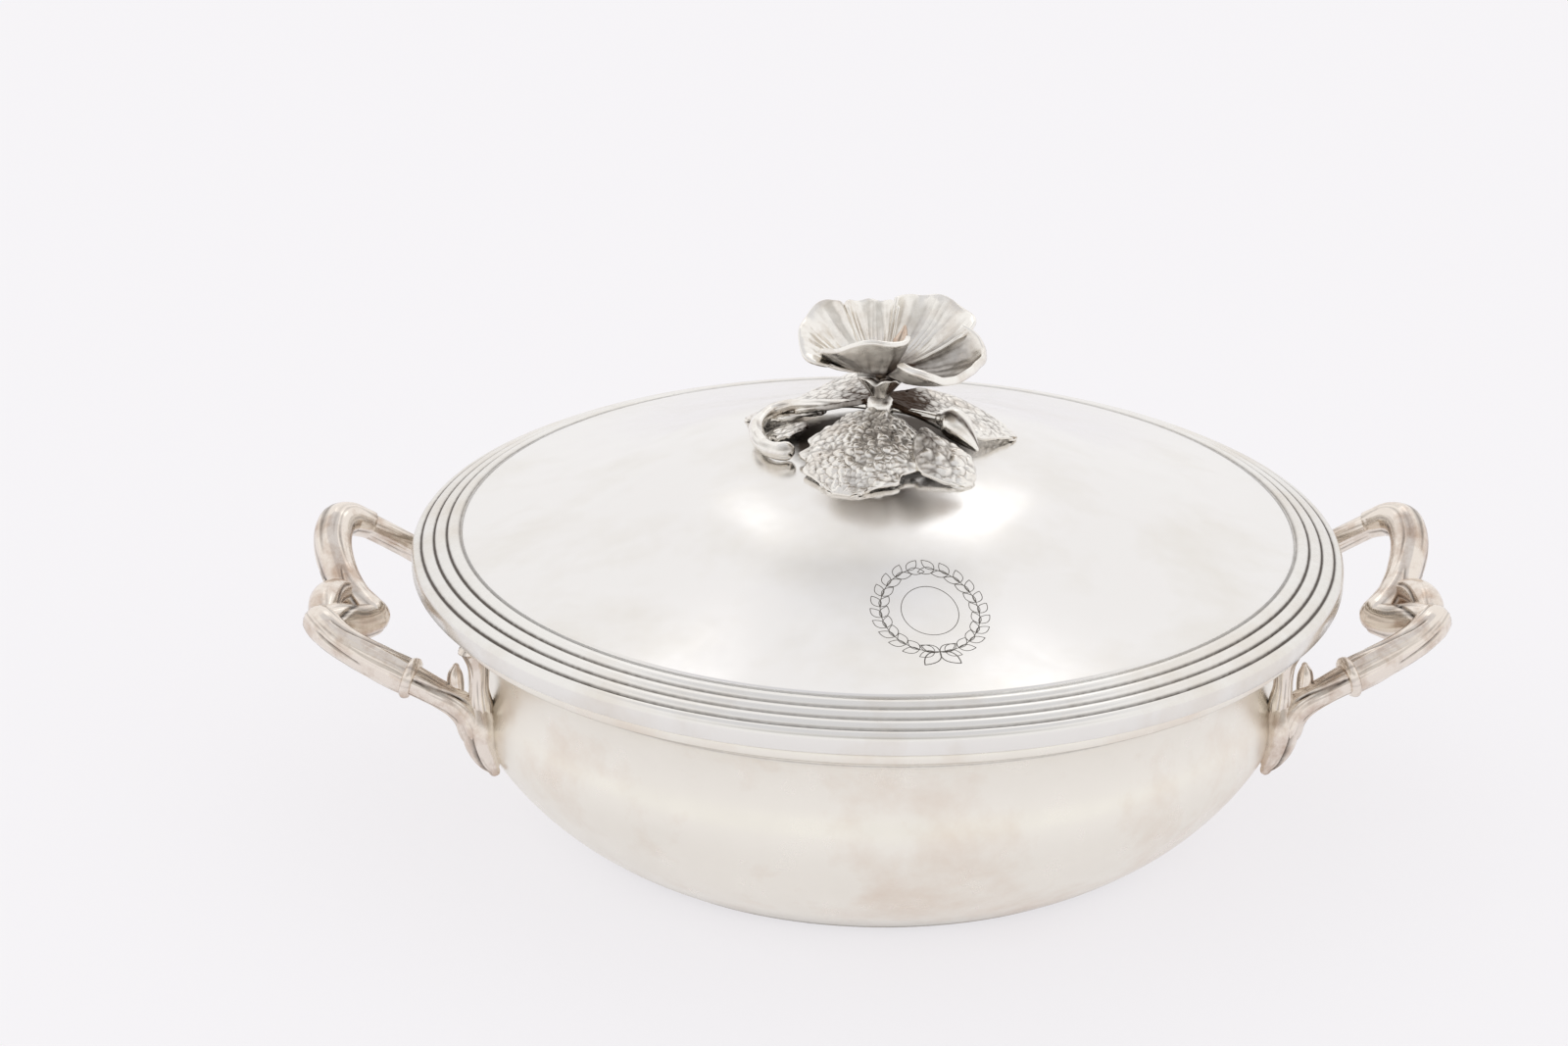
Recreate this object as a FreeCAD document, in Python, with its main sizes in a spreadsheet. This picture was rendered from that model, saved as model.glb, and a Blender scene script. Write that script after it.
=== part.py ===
import FreeCAD, Part
import math
import os

import Sketcher

# Covered vegetable dish of silver-plated metal, in millimetres.
# The origin is the middle of the flat base, +Z is up and the two handles lie along X.
os.makedirs("parts", exist_ok=True)
doc = FreeCAD.newDocument("covered_dish")
sheet = doc.addObject("Spreadsheet::Sheet", "Sizes")

# Driving dimensions
SIZES = [
    ("mouth_radius", 107.0, "outer radius of the upright wall at the mouth"),
    ("bowl_height", 66.2, "height of the bowl's rim"),
    ("bowl_wall", 1.2, "thickness of the spun bowl"),
    ("bulge_inset", 0.8, "how far the belly's widest point lies inside the mouth's radius"),
    ("bulge_drop", 32.2, "from the rim down to the widest point of the belly"),
    ("neck_inset", 3.2, "how far the narrow neck lies inside the mouth's radius"),
    ("neck_drop", 19.2, "from the rim down to the narrowest point of the neck"),
    ("neck_arc", 20.0, "radius of the hollow neck arc"),
    ("foot_inset", 28.2, "how far the flat foot's edge lies inside the belly's widest radius"),
    ("band_height", 8.0, "height of the moulding under the rim"),
    ("band_foot", 2.0, "how far the moulding's lower edge stands out"),
    ("band_fillet", 0.7, "height of the moulding's lower edge"),
    ("band_reach", 10.0, "how far the moulding's rounded lip stands out"),
    ("band_lip", 3.4, "height of the moulding's rounded lip"),
    ("cavetto_arc", 8.0, "radius of the hollow between lower edge and lip"),
    ("cover_overhang", 13.0, "how far the cover's edge stands out beyond the mouth"),
    ("cover_rise", 10.0, "height of the cover's seam above the bowl's rim"),
    ("cover_wall", 1.2, "thickness of the spun cover"),
    ("border_wall", 1.8, "thickness of the reeded border"),
    ("reed_pitch", 3.3, "width of one reed"),
    ("reed_crown", 4.2, "radius of a reed's rounded back"),
    ("seam_width", 0.6, "narrow fillet between the seam and the first groove"),
    ("edge_width", 2.5, "width of the outermost reed"),
    ("edge_crown", 3.4, "radius of the outermost reed's back"),
    ("edge_drop", 3.0, "height of the cover's plain outer edge"),
    ("edge_gap", 0.7, "from the bowl's rim up to the cover's edge"),
    ("seat_wall", 1.2, "thickness of the seat ring and its spigot"),
    ("spigot_depth", 7.0, "how deep the spigot reaches into the mouth"),
    ("spigot_clearance", 0.35, "gap between the spigot and the mouth"),
    ("crown_radius", 62.0, "radius where the cover is steepest"),
    ("crown_flat", 10.0, "radius of the flat on top of the cover"),
    ("stud_diameter", 5.0, "threaded stud of the finial"),
    ("stud_clearance", 0.3, "gap between the stud and its hole in the cover"),
    ("stud_length", 13.0, "length of the stud below the cover's top"),
    ("washer_radius", 9.0, "radius of the washer under the cover"),
    ("washer_wall", 1.2, "thickness of that washer"),
    ("nut_clearance", 0.05, "running gap between the wing nut and the stud"),
    ("nut_hub_radius", 5.0, "radius of the wing nut's hub"),
    ("nut_hub_height", 6.5, "height of the wing nut's hub"),
    ("nut_span", 26.0, "width over the nut's two wings"),
    ("nut_wing_wall", 2.2, "thickness of a wing"),
    ("nut_wing_drop", 9.0, "how far the wings reach below the washer"),
    ("stem_foot_radius", 8.0, "radius of the foot of the finial's stem"),
    ("stem_foot_height", 1.6, "thickness of that foot"),
    ("stem_radius", 2.35, "thin part of the finial's stem"),
    ("knob_radius", 3.6, "radius of the knuckle on the stem"),
    ("knob_height", 9.6, "height of the knuckle above the cover"),
    ("knob_length", 5.0, "length of the knuckle"),
    ("stem_height", 12.6, "height of the stem above the cover"),
    ("calyx_height", 6.3, "height of the calyx under the petals"),
    ("calyx_radius", 6.6, "upper radius of the calyx"),
    ("calyx_arc", 9.0, "radius of the calyx's hollow side"),
    ("sepal_notch", 3.2, "depth of the notches between the sepals"),
    ("sepal_gap", 3.0, "width of those notches at the top"),
    ("pistil_radius", 2.0, "radius of the pistil's foot"),
    ("pistil_height", 13.0, "height of the pistil above the calyx"),
    ("pistil_lean", 6.0, "how far the pistil's tip leans sideways"),
    ("petal_hub", 2.6, "radius where the petals start"),
    ("petal_wall", 1.2, "thickness of a petal"),
    ("flower_reach", 27.0, "reach of the longest petal from the stem's axis"),
    ("flower_rise", 15.0, "height of the highest petal above the calyx"),
    ("leaf_wall", 1.4, "thickness of a leaf"),
    ("leaf_reach", 36.0, "usual reach of the leaves from the stem's axis"),
    ("leaf_rise", 8.5, "height of the leaves near the stem above the cover"),
    ("leaf_gap", 0.4, "gap between a leaf's underside and the cover"),
    ("tendril_radius", 1.5, "usual radius of the tendrils"),
    ("handle_reach", 35.3, "from the belly's widest radius to a handle's outer centre line"),
    ("handle_spread", 35.2, "half of the distance between a handle's two roots"),
    ("handle_rise", 26.0, "from the roots to a handle's highest centre line"),
    ("root_drop", 25.2, "from the bowl's rim down to the fork where a handle meets the bowl"),
    ("stalk_radius", 3.5, "radius of a handle's thin stalk"),
    ("branch_radius", 4.7, "radius of a handle's thick branch"),
    ("collar_width", 1.4, "width of the collar on the near branch"),
    ("collar_radius", 5.0, "radius of that collar"),
]

# Driving angles, in degrees
ANGLES = [
    ("bulge_turn", 30.0, "turn of the belly's arc below its widest point"),
    ("border_slope", 20.5, "fall of the reeded border"),
    ("rim_slope", 12.0, "slope of the cover at its seam"),
    ("crown_slope", 20.7, "steepest slope of the cover"),
]
for row, (alias, value, meaning) in enumerate(SIZES + ANGLES, start=1):
    sheet.set("A%d" % row, alias.replace("_", " "))
    sheet.set("B%d" % row, str(value))
    sheet.setAlias("B%d" % row, alias)
    sheet.set("C%d" % row, meaning)
doc.recompute()

# Counts
REEDS = 3
SEPALS = 5
WINGS = 2

# A round end's radius as a share of its stem's
BALL_SHARE = 1.06


class Size:
    """A length with its value and the expression that binds it to the sheet."""

    def __init__(self, value, text):
        self.value = value
        self.text = text

    def join(self, other, sign, value):
        return Size(value, "(%s %s %s)" % (self.text, sign, as_size(other).text))

    def __add__(self, other):
        return self.join(other, "+", self.value + as_size(other).value)

    def __sub__(self, other):
        return self.join(other, "-", self.value - as_size(other).value)

    def __mul__(self, other):
        return self.join(other, "*", self.value * as_size(other).value)

    def __truediv__(self, other):
        return self.join(other, "/", self.value / as_size(other).value)

    def __neg__(self):
        return ZERO - self


def as_size(item):
    return item if isinstance(item, Size) else Size(float(item), "%.6f" % item)


def size(alias):
    return Size(float(sheet.get(alias)), "Sizes." + alias)


def root(item):
    return Size(math.sqrt(item.value), "sqrt(%s)" % item.text)


def sine(item):
    return Size(math.sin(math.radians(item.value)), "sin(%s)" % item.text)


def cosine(item):
    return Size(math.cos(math.radians(item.value)), "cos(%s)" % item.text)


def tangent(item):
    return sine(item) / cosine(item)


ZERO = as_size(0)
UP = FreeCAD.Vector(0, 0, 1)
pieces = {}


def origin_item(body, role):
    return next(item for item in body.Origin.OriginFeatures if item.Role == role)


def arc_between(start, end, radius):
    """The short arc from start to end, which bulges to the right of the way if radius is positive."""
    middle = (start + end) * 0.5
    chord = end - start
    left = FreeCAD.Vector(-chord.y, chord.x, 0).normalize()
    away = math.sqrt(max(radius * radius - chord.Length * chord.Length / 4, 0))
    circle = Part.Circle(middle + left * math.copysign(away, radius), UP, abs(radius))
    first, last = (start, end) if radius > 0 else (end, start)
    return Part.ArcOfCircle(circle, circle.parameter(first), circle.parameter(last))


def outline_sketch(body, name, role, points):
    """A closed outline of (across, up) points, each with the radius of the arc that follows it."""
    sketch = body.newObject("Sketcher::SketchObject", name)
    sketch.AttachmentSupport = [(origin_item(body, role), "")]
    sketch.MapMode = "FlatFace"
    spots = [FreeCAD.Vector(point[0].value, point[1].value, 0) for point in points]
    starts = []
    for index, point in enumerate(points):
        here = spots[index]
        there = spots[(index + 1) % len(points)]
        if len(point) > 2:
            sketch.addGeometry(arc_between(here, there, point[2].value), False)
            starts.append(1 if point[2].value > 0 else 2)
        else:
            sketch.addGeometry(Part.LineSegment(here, there), False)
            starts.append(1)
    for index, point in enumerate(points):
        start = starts[index]
        before = (index - 1) % len(points)
        end_before = 3 - starts[before]
        sketch.addConstraint(Sketcher.Constraint("Coincident", before, end_before, index, start))
        for kind, axis, item in (("DistanceX", -2, point[0]), ("DistanceY", -1, point[1])):
            if item is ZERO:
                sketch.addConstraint(Sketcher.Constraint("PointOnObject", index, start, axis))
                continue
            bound = Sketcher.Constraint(kind, -1, 1, index, start, item.value)
            number = sketch.addConstraint(bound)
            sketch.setExpression("Constraints[%d]" % number, item.text)
        if len(point) > 2:
            bound = Sketcher.Constraint("Radius", index, abs(point[2].value))
            number = sketch.addConstraint(bound)
            sketch.setExpression("Constraints[%d]" % number, "abs(%s)" % point[2].text)
    return sketch


def turned_body(name, points):
    """A body turned about the dish's axis from an outline of (radius, height) points."""
    body = doc.addObject("PartDesign::Body", name)
    sketch = outline_sketch(body, name + "_outline", "XZ_Plane", points)
    turn = body.newObject("PartDesign::Revolution", name + "_turn")
    turn.Profile = sketch
    turn.ReferenceAxis = (sketch, ["V_Axis"])
    turn.Angle = 360
    return body


def stations(shares, origin, lengths, thickness):
    """Places (x, y, z, radius) along a stem, as shares of the lengths away from the origin."""
    places = []
    for share in shares:
        spot = [start + length * part for start, length, part in zip(origin, lengths, share)]
        places.append((*spot, thickness * share[3]))
    return places


def point_of(place):
    return FreeCAD.Vector(place[0].value, place[1].value, place[2].value)


def headings(places):
    """The direction of the path at each of its places."""
    last = len(places) - 1
    spots = [point_of(place) for place in places]
    return [
        (spots[min(index + 1, last)] - spots[max(index - 1, 0)]).normalize()
        for index in range(last + 1)
    ]


def steady_turns(directions):
    """A rotation to each direction, with as little twist as possible from one to the next."""
    aside = directions[0].cross(UP if abs(directions[0].z) < 0.9 else FreeCAD.Vector(0, 1, 0))
    turns = []
    for heading in directions:
        aside = (aside - heading * aside.dot(heading)).normalize()
        turns.append(FreeCAD.Rotation(aside, heading.cross(aside), heading, "ZXY"))
    return turns


def put(item, place, turn):
    item.Placement = FreeCAD.Placement(point_of(place), turn)
    for axis, value in zip("xyz", place):
        item.setExpression("Placement.Base." + axis, value.text)


def round_stem(name, places, directions=None, ball_start=False, ball_end=False):
    """A tapering round stem lofted through circles, with a ball at each end that is open."""
    turns = steady_turns(directions or headings(places))
    rings = []
    for index, place in enumerate(places):
        ring = doc.addObject("Part::Circle", "%s_ring_%d" % (name, index))
        ring.setExpression("Radius", place[3].text)
        put(ring, place, turns[index])
        rings.append(ring)
    loft = doc.addObject("Part::Loft", name + "_loft")
    loft.Sections = rings
    loft.Solid = True
    whole = [loft]
    for wanted, index in ((ball_start, 0), (ball_end, -1)):
        if wanted:
            ball = doc.addObject("Part::Sphere", "%s_ball_%d" % (name, len(whole)))
            ball.setExpression("Radius", (places[index][3] * BALL_SHARE).text)
            put(ball, places[index], turns[index])
            whole.append(ball)
    if len(whole) == 1:
        return loft
    fuse = doc.addObject("Part::MultiFuse", name + "_fuse")
    fuse.Shapes = whole
    return fuse


def fitted(name, base, *tools):
    """The base with the space of each tool taken out of it, so that the faces meet."""
    for index, tool in enumerate(tools):
        cut = doc.addObject("Part::Cut", "%s_fit_%d" % (name, index))
        cut.Base = base
        cut.Tool = tool
        base = cut
    return base


def sheet_piece(name, point_at, wall, along=8, across=7):
    """A thin curved sheet whose upper side is point_at(t, s), t from 0 to 1 and s from -1 to 1."""
    nudge = 1 / 10000
    upper = []
    lower = []
    for i in range(along):
        t = i / (along - 1)
        upper.append([])
        lower.append([])
        for j in range(across):
            s = 2 * j / (across - 1) - 1
            here = point_at(t, s)
            forward = point_at(t + nudge, s) - point_at(t - nudge, s)
            sideways = point_at(t, s + nudge) - point_at(t, s - nudge)
            normal = forward.cross(sideways).normalize()
            upper[-1].append(here)
            lower[-1].append(here - normal * math.copysign(wall, normal.z))
    skins = [Part.BSplineSurface(), Part.BSplineSurface()]
    for skin, grid in zip(skins, (upper, lower)):
        skin.interpolate(grid)
    first_u, last_u, first_v, last_v = skins[0].bounds()
    faces = [skin.toShape() for skin in skins]
    for side in (first_u, last_u):
        faces.append(Part.makeRuledSurface(*[skin.uIso(side).toShape() for skin in skins]))
    for side in (first_v, last_v):
        faces.append(Part.makeRuledSurface(*[skin.vIso(side).toShape() for skin in skins]))
    shell = Part.makeShell(faces)
    shell.sewShape()
    solid = Part.makeSolid(shell)
    if solid.Volume < 0:
        solid.reverse()
    piece = doc.addObject("Part::Feature", name)
    piece.Shape = solid
    return piece


# Bowl: spun from one sheet, with a hollow neck above a full belly
bulge_radius = size("mouth_radius") - size("bulge_inset")
bulge_height = size("bowl_height") - size("bulge_drop")
neck_in = size("neck_inset") - size("bulge_inset")
neck_up = size("bulge_drop") - size("neck_drop")
belly_arc = (neck_in * neck_in + neck_up * neck_up) / (neck_in * 2) - size("neck_arc")
belly_centre = (bulge_radius - belly_arc, bulge_height)
neck_centre = (
    size("mouth_radius") - size("neck_inset") + size("neck_arc"),
    size("bowl_height") - size("neck_drop"),
)
turn_out = cosine(size("bulge_turn"))
turn_down = sine(size("bulge_turn"))
belly_end = (belly_centre[0] + belly_arc * turn_out, belly_centre[1] - belly_arc * turn_down)
foot_run = belly_end[0] - (bulge_radius - size("foot_inset"))
foot_drop = belly_end[1]
foot_pull = foot_run * turn_out - foot_drop * turn_down
foot_arc = (foot_run * foot_run + foot_drop * foot_drop) / (foot_pull * 2)
foot_centre = (belly_end[0] - foot_arc * turn_out, belly_end[1] + foot_arc * turn_down)


def bowl_side(inward):
    """The bowl's side from foot to rim, moved inwards by a thickness."""
    foot = foot_arc - inward
    belly = belly_arc - inward
    neck = size("neck_arc") + inward
    mouth = size("mouth_radius") - inward
    foot_up = foot_centre[1] - inward
    neck_run = neck_centre[0] - mouth
    share = belly / (belly_arc + size("neck_arc"))
    return [
        (foot_centre[0] + root(foot * foot - foot_up * foot_up), inward, foot),
        (foot_centre[0] + foot * turn_out, foot_centre[1] - foot * turn_down, belly),
        (
            belly_centre[0] + (neck_centre[0] - belly_centre[0]) * share,
            belly_centre[1] + (neck_centre[1] - belly_centre[1]) * share,
            -neck,
        ),
        (mouth, neck_centre[1] + root(neck * neck - neck_run * neck_run)),
        (mouth, size("bowl_height")),
    ]


def backwards(points):
    """The same line run the other way, with each arc kept between its two points."""
    turned = []
    for index in range(len(points) - 1, -1, -1):
        arc = points[index - 1][2:] if index > 0 else ()
        turned.append(points[index][:2] + tuple(-item for item in arc))
    return turned


side_out = bowl_side(ZERO)
side_in = bowl_side(size("bowl_wall"))
inner_floor = [(ZERO, size("bowl_wall"))]
bowl_outline = [(ZERO, ZERO)] + side_out + backwards(side_in) + inner_floor
pieces["bowl_shell"] = turned_body("bowl_shell", bowl_outline)

# Rim moulding: a hollow under a rounded lip, soldered round the mouth
band_bottom = size("bowl_height") - size("band_height")
lip_bottom = size("bowl_height") - size("band_lip")
lip_crown = size("band_lip") * 0.62
lip_half = size("band_lip") / 2
lip_bulge = lip_crown - root(lip_crown * lip_crown - lip_half * lip_half)
lip_back = size("mouth_radius") + size("band_reach") - lip_bulge
band_edge = size("mouth_radius") + size("band_foot")
band_side = [
    (band_edge, band_bottom),
    (band_edge, band_bottom + size("band_fillet"), -size("cavetto_arc")),
    (lip_back, lip_bottom, lip_crown),
    (lip_back, size("bowl_height")),
]
band_back = [(size("mouth_radius"), size("bowl_height")), (size("mouth_radius"), band_bottom)]
pieces["rim_moulding"] = turned_body("rim_moulding", band_side + band_back)

# The full outer form of bowl and moulding, which the handles are fitted against
form_outline = [(ZERO, ZERO)] + side_out[:-1] + band_back[1:] + band_side
outer_form = turned_body("outer_form", form_outline + [(ZERO, size("bowl_height"))])

# Cover crown: spun, hollow near its seam and full towards the top
cover_radius = size("mouth_radius") + size("cover_overhang")
groove_radius = cover_radius - size("edge_width")
first_groove = groove_radius - size("reed_pitch") * REEDS
seam_radius = first_groove - size("seam_width")
seam_height = size("bowl_height") + size("cover_rise")
flare_arc = (seam_radius - size("crown_radius")) / (
    sine(size("crown_slope")) - sine(size("rim_slope"))
)
flare_centre = (
    seam_radius + flare_arc * sine(size("rim_slope")),
    seam_height + flare_arc * cosine(size("rim_slope")),
)
crown_arc = (size("crown_radius") - size("crown_flat")) / sine(size("crown_slope"))
crown_centre = (
    size("crown_flat"),
    flare_centre[1] - (flare_arc + crown_arc) * cosine(size("crown_slope")),
)
cover_top = crown_centre[1] + crown_arc
bore_radius = size("stud_diameter") / 2 + size("stud_clearance")


def crown_side(inward):
    """The crown's surface from seam to top flat, moved inwards by a thickness."""
    flare = flare_arc + inward
    crown = crown_arc - inward
    run = flare_centre[0] - seam_radius
    return [
        (seam_radius, flare_centre[1] - root(flare * flare - run * run), -flare),
        (
            crown_centre[0] + crown * sine(size("crown_slope")),
            crown_centre[1] + crown * cosine(size("crown_slope")),
            crown,
        ),
        (size("crown_flat"), crown_centre[1] + crown),
        (bore_radius, crown_centre[1] + crown),
    ]


cover_outline = crown_side(ZERO) + backwards(crown_side(size("cover_wall")))
pieces["cover_shell"] = turned_body("cover_shell", cover_outline)

# Reeded border: a drawn moulding of rounded reeds, soldered round the crown
fall = tangent(size("border_slope"))
edge_bottom = size("bowl_height") + size("edge_gap")
edge_inside = cover_radius - size("border_wall")


def border_height(radius):
    return seam_height - (radius - seam_radius) * fall


reeds = []
for reed in range(REEDS):
    outer = groove_radius - size("reed_pitch") * reed
    reeds.append((outer, border_height(outer), size("reed_crown")))
border_outline = [
    (edge_inside, edge_bottom),
    (cover_radius, edge_bottom),
    (cover_radius, edge_bottom + size("edge_drop"), size("edge_crown")),
    *reeds,
    (first_groove, border_height(first_groove)),
    (seam_radius, seam_height),
    (seam_radius, seam_height - size("border_wall")),
    (edge_inside, border_height(edge_inside) - size("border_wall")),
]
pieces["reeded_border"] = turned_body("reeded_border", border_outline)

# Seat ring: rests on the rim, and its spigot drops into the mouth
spigot_radius = size("mouth_radius") - size("bowl_wall") - size("spigot_clearance")
spigot_inside = spigot_radius - size("seat_wall")
seat_top = size("bowl_height") + size("seat_wall")
seat_outline = [
    (spigot_inside, size("bowl_height") - size("spigot_depth")),
    (spigot_radius, size("bowl_height") - size("spigot_depth")),
    (spigot_radius, size("bowl_height")),
    (edge_inside, size("bowl_height")),
    (edge_inside, seat_top),
    (spigot_inside, seat_top),
]
pieces["cover_seat"] = turned_body("cover_seat", seat_outline)

# Fixing of the finial: stud, washer and wing nut
stud = doc.addObject("Part::Cylinder", "finial_stud")
stud.setExpression("Radius", (size("stud_diameter") / 2).text)
stud.setExpression("Height", size("stud_length").text)
stud.setExpression("Placement.Base.z", (cover_top - size("stud_length")).text)
pieces["finial_stud"] = stud

washer_top = cover_top - size("cover_wall")
washer_bottom = washer_top - size("washer_wall")
washer_outline = [
    (bore_radius, washer_bottom),
    (size("washer_radius"), washer_bottom),
    (size("washer_radius"), washer_top),
    (bore_radius, washer_top),
]
pieces["finial_washer"] = turned_body("finial_washer", washer_outline)

nut_bore = size("stud_diameter") / 2 + size("nut_clearance")
hub_bottom = washer_bottom - size("nut_hub_height")
hub_waist = size("nut_hub_radius") * 0.84
hub_outline = [
    (nut_bore, hub_bottom),
    (hub_waist, hub_bottom),
    (size("nut_hub_radius"), washer_bottom - size("nut_hub_height") * 0.3),
    (size("nut_hub_radius"), washer_bottom),
    (nut_bore, washer_bottom),
]
wing_nut = turned_body("wing_nut", hub_outline)
wing_shares = [(0.0, 0.12), (0.62, 0.3), (1.0, 0.62), (0.92, 1.0), (0.6, 0.96), (0.0, 0.66)]
wing_start = (nut_bore + hub_waist) / 2
wing_run = size("nut_span") / 2 - wing_start
wing_outline = [
    (wing_start + wing_run * out, washer_bottom - size("nut_wing_drop") * down)
    for out, down in wing_shares
]
wing_sketch = outline_sketch(wing_nut, "wing_outline", "XZ_Plane", wing_outline)
wing = wing_nut.newObject("PartDesign::Pad", "wing")
wing.Profile = wing_sketch
wing.Midplane = True
wing.setExpression("Length", size("nut_wing_wall").text)
doc.recompute()
wings = wing_nut.newObject("PartDesign::PolarPattern", "wings")
wings.Originals = [wing]
wings.Axis = (wing_sketch, ["V_Axis"])
wings.Angle = 360
wings.Occurrences = WINGS
wing_nut.Tip = wings
pieces["wing_nut"] = wing_nut

# Stem of the finial: a foot on the cover, a knuckle among the leaves
stem_top = cover_top + size("stem_height")
foot_top = cover_top + size("stem_foot_height")
knob_half = size("knob_length") / 2
knob_out = size("knob_radius") - size("stem_radius")
knob_arc = (knob_half * knob_half + knob_out * knob_out) / (knob_out * 2)
knob_middle = cover_top + size("knob_height")
stem_outline = [
    (ZERO, cover_top),
    (size("stem_foot_radius"), cover_top),
    (size("stem_foot_radius"), cover_top + size("stem_foot_height") / 2),
    (size("stem_radius"), foot_top),
    (size("stem_radius"), knob_middle - knob_half, knob_arc),
    (size("stem_radius"), knob_middle + knob_half),
    (size("stem_radius"), stem_top),
    (ZERO, stem_top),
]
pieces["finial_stem"] = turned_body("finial_stem", stem_outline)

# Calyx: a funnel whose edge is cut into sepals
calyx_top = stem_top + size("calyx_height")
calyx_outline = [
    (ZERO, stem_top),
    (size("stem_radius"), stem_top, -size("calyx_arc")),
    (size("calyx_radius"), calyx_top),
    (ZERO, calyx_top),
]
calyx = turned_body("calyx", calyx_outline)
doc.recompute()
uncut_calyx = calyx.Shape.Volume
notch_top = calyx_top + size("sepal_notch") / 4
notch_outline = [
    (ZERO, calyx_top - size("sepal_notch")),
    (size("sepal_gap") / 2, notch_top),
    (size("sepal_gap") / -2, notch_top),
]
notch_sketch = outline_sketch(calyx, "notch_outline", "YZ_Plane", notch_outline)
notch_sketch.setExpression("AttachmentOffset.Base.z", (size("calyx_radius") * 0.6).text)
notch = calyx.newObject("PartDesign::Pocket", "notch")
notch.Profile = notch_sketch
notch.Reversed = True
notch.setExpression("Length", size("calyx_radius").text)
doc.recompute()
notches = calyx.newObject("PartDesign::PolarPattern", "notches")
notches.Originals = [notch]
notches.Axis = (origin_item(calyx, "Z_Axis"), [""])
notches.Angle = 360
notches.Occurrences = SEPALS
calyx.Tip = notches
doc.recompute()
if calyx.Shape.Volume >= uncut_calyx:
    raise RuntimeError("the notches between the sepals cut nothing")
pieces["calyx"] = calyx

# Pistil: the small leaning spike in the middle of the flower.
# Shares: of its lean, of its height and of its foot's radius.
pistil_shares = [
    (0.0, 0.0, 0.0, 1.0),
    (0.0, 0.0, 0.12, 0.95),
    (0.18, 0.0, 0.27, 0.8),
    (0.52, 0.0, 0.46, 0.62),
    (0.80, 0.0, 0.63, 0.9),
    (0.93, 0.0, 0.80, 0.6),
    (1.0, 0.0, 1.0, 0.16),
]
pistil_lengths = (size("pistil_lean"), ZERO, size("pistil_height"))
pistil_places = stations(
    pistil_shares, (ZERO, ZERO, calyx_top), pistil_lengths, size("pistil_radius")
)
pistil_headings = headings(pistil_places)
pistil_headings[:2] = [UP, UP]
pieces["pistil"] = round_stem("pistil", pistil_places, pistil_headings)

# Petals: each stands between two of its neighbours and has its own reach and rim.
# Shares: reach of the flower's reach, how much further it reaches on its left, then the rim's
# height at its right, middle and left as shares of the flower's rise.
# Angles are in degrees from +X, and half of the petal's width.
PETAL_ANGLES = {
    "petal_left": (168, 33),
    "petal_back": (100, 24),
    "petal_right_back": (37, 25),
    "petal_right_front": (-32, 35),
    "petal_front": (-112, 37),
}
PETAL_SHARES = {
    "petal_left": (0.76, 0.0, 0.97, 0.72, 0.22),
    "petal_back": (0.60, 0.0, 0.88, 0.88, 0.92),
    "petal_right_back": (0.87, -0.2, 0.80, 0.95, 0.96),
    "petal_right_front": (1.00, 0.12, 0.12, 0.10, 0.45),
    "petal_front": (0.58, 0.0, 0.25, 0.80, 0.72),
}
ROUND_CORNER_SHARE = 0.16
CUP_POWER = 1.45


def petal_point(name):
    middle, half = PETAL_ANGLES[name]
    reach_share, lean, right, centre, left = PETAL_SHARES[name]
    hub = size("petal_hub").value
    reach = size("flower_reach").value * reach_share
    rise = size("flower_rise").value
    base = calyx_top.value + size("petal_wall").value

    def point_at(t, s):
        angle = math.radians(middle + half * s)
        out = hub + (reach * (1 + lean * s - ROUND_CORNER_SHARE * s ** 4) - hub) * t
        rim = centre + (left - right) / 2 * s + ((left + right) / 2 - centre) * s * s
        up = base + rise * rim * max(t, 0) ** CUP_POWER
        return FreeCAD.Vector(out * math.cos(angle), out * math.sin(angle), up)

    return point_at


for name in PETAL_ANGLES:
    pieces[name] = sheet_piece(name, petal_point(name), size("petal_wall").value)

# Leaves: they arch from the stem down to the cover and follow its slope.
# Shares of the leaves' reach: where a leaf starts, ends and half of its width.
# Shares of the leaves' rise: its height at the start, and how much its sides droop.
LEAF_ANGLES = {
    "leaf_front": -109,
    "leaf_right_front": -55,
    "leaf_right_back": 13,
    "leaf_back": 115,
    "leaf_left": 143,
    "leaf_inner": 168,
}
LEAF_SHARES = {
    "leaf_front": (0.12, 1.04, 0.40, 1.00, 0.35),
    "leaf_right_front": (0.40, 1.03, 0.20, 0.48, 0.60),
    "leaf_right_back": (0.15, 1.03, 0.17, 0.90, 0.40),
    "leaf_back": (0.12, 1.10, 0.24, 1.00, 0.40),
    "leaf_left": (0.52, 1.16, 0.15, 0.10, 0.20),
    "leaf_inner": (0.56, 0.83, 0.12, 0.18, 0.20),
}
LEAF_TIP_SHARE = 0.1
LEAF_ARCH_POWER = 1.2


def cover_height(radius):
    """The height of the cover's outside at a radius within its full part."""
    run = max(radius - crown_centre[0].value, 0)
    return crown_centre[1].value + math.sqrt(crown_arc.value ** 2 - run * run)


def leaf_point(name):
    middle = math.radians(LEAF_ANGLES[name])
    start, end, half, lift_share, droop_share = LEAF_SHARES[name]
    length = size("leaf_reach").value
    lift = size("leaf_rise").value * lift_share
    base = (size("leaf_gap").value + size("leaf_wall").value) * 1.06

    def point_at(t, s):
        inside = min(max(t, 0), 1)
        out = length * (start + (end - start) * t)
        swell = math.sin(math.pi * (0.06 + 0.9 * t ** 1.1 if t > 0 else 0.06))
        aside = length * half * (LEAF_TIP_SHARE + (1 - LEAF_TIP_SHARE) * swell) * s
        radius = math.hypot(out, aside)
        arch = lift * (1 - inside) ** LEAF_ARCH_POWER * (1 - droop_share * s * s)
        return FreeCAD.Vector(
            out * math.cos(middle) - aside * math.sin(middle),
            out * math.sin(middle) + aside * math.cos(middle),
            cover_height(radius) + base + arch,
        )

    return point_at


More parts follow.
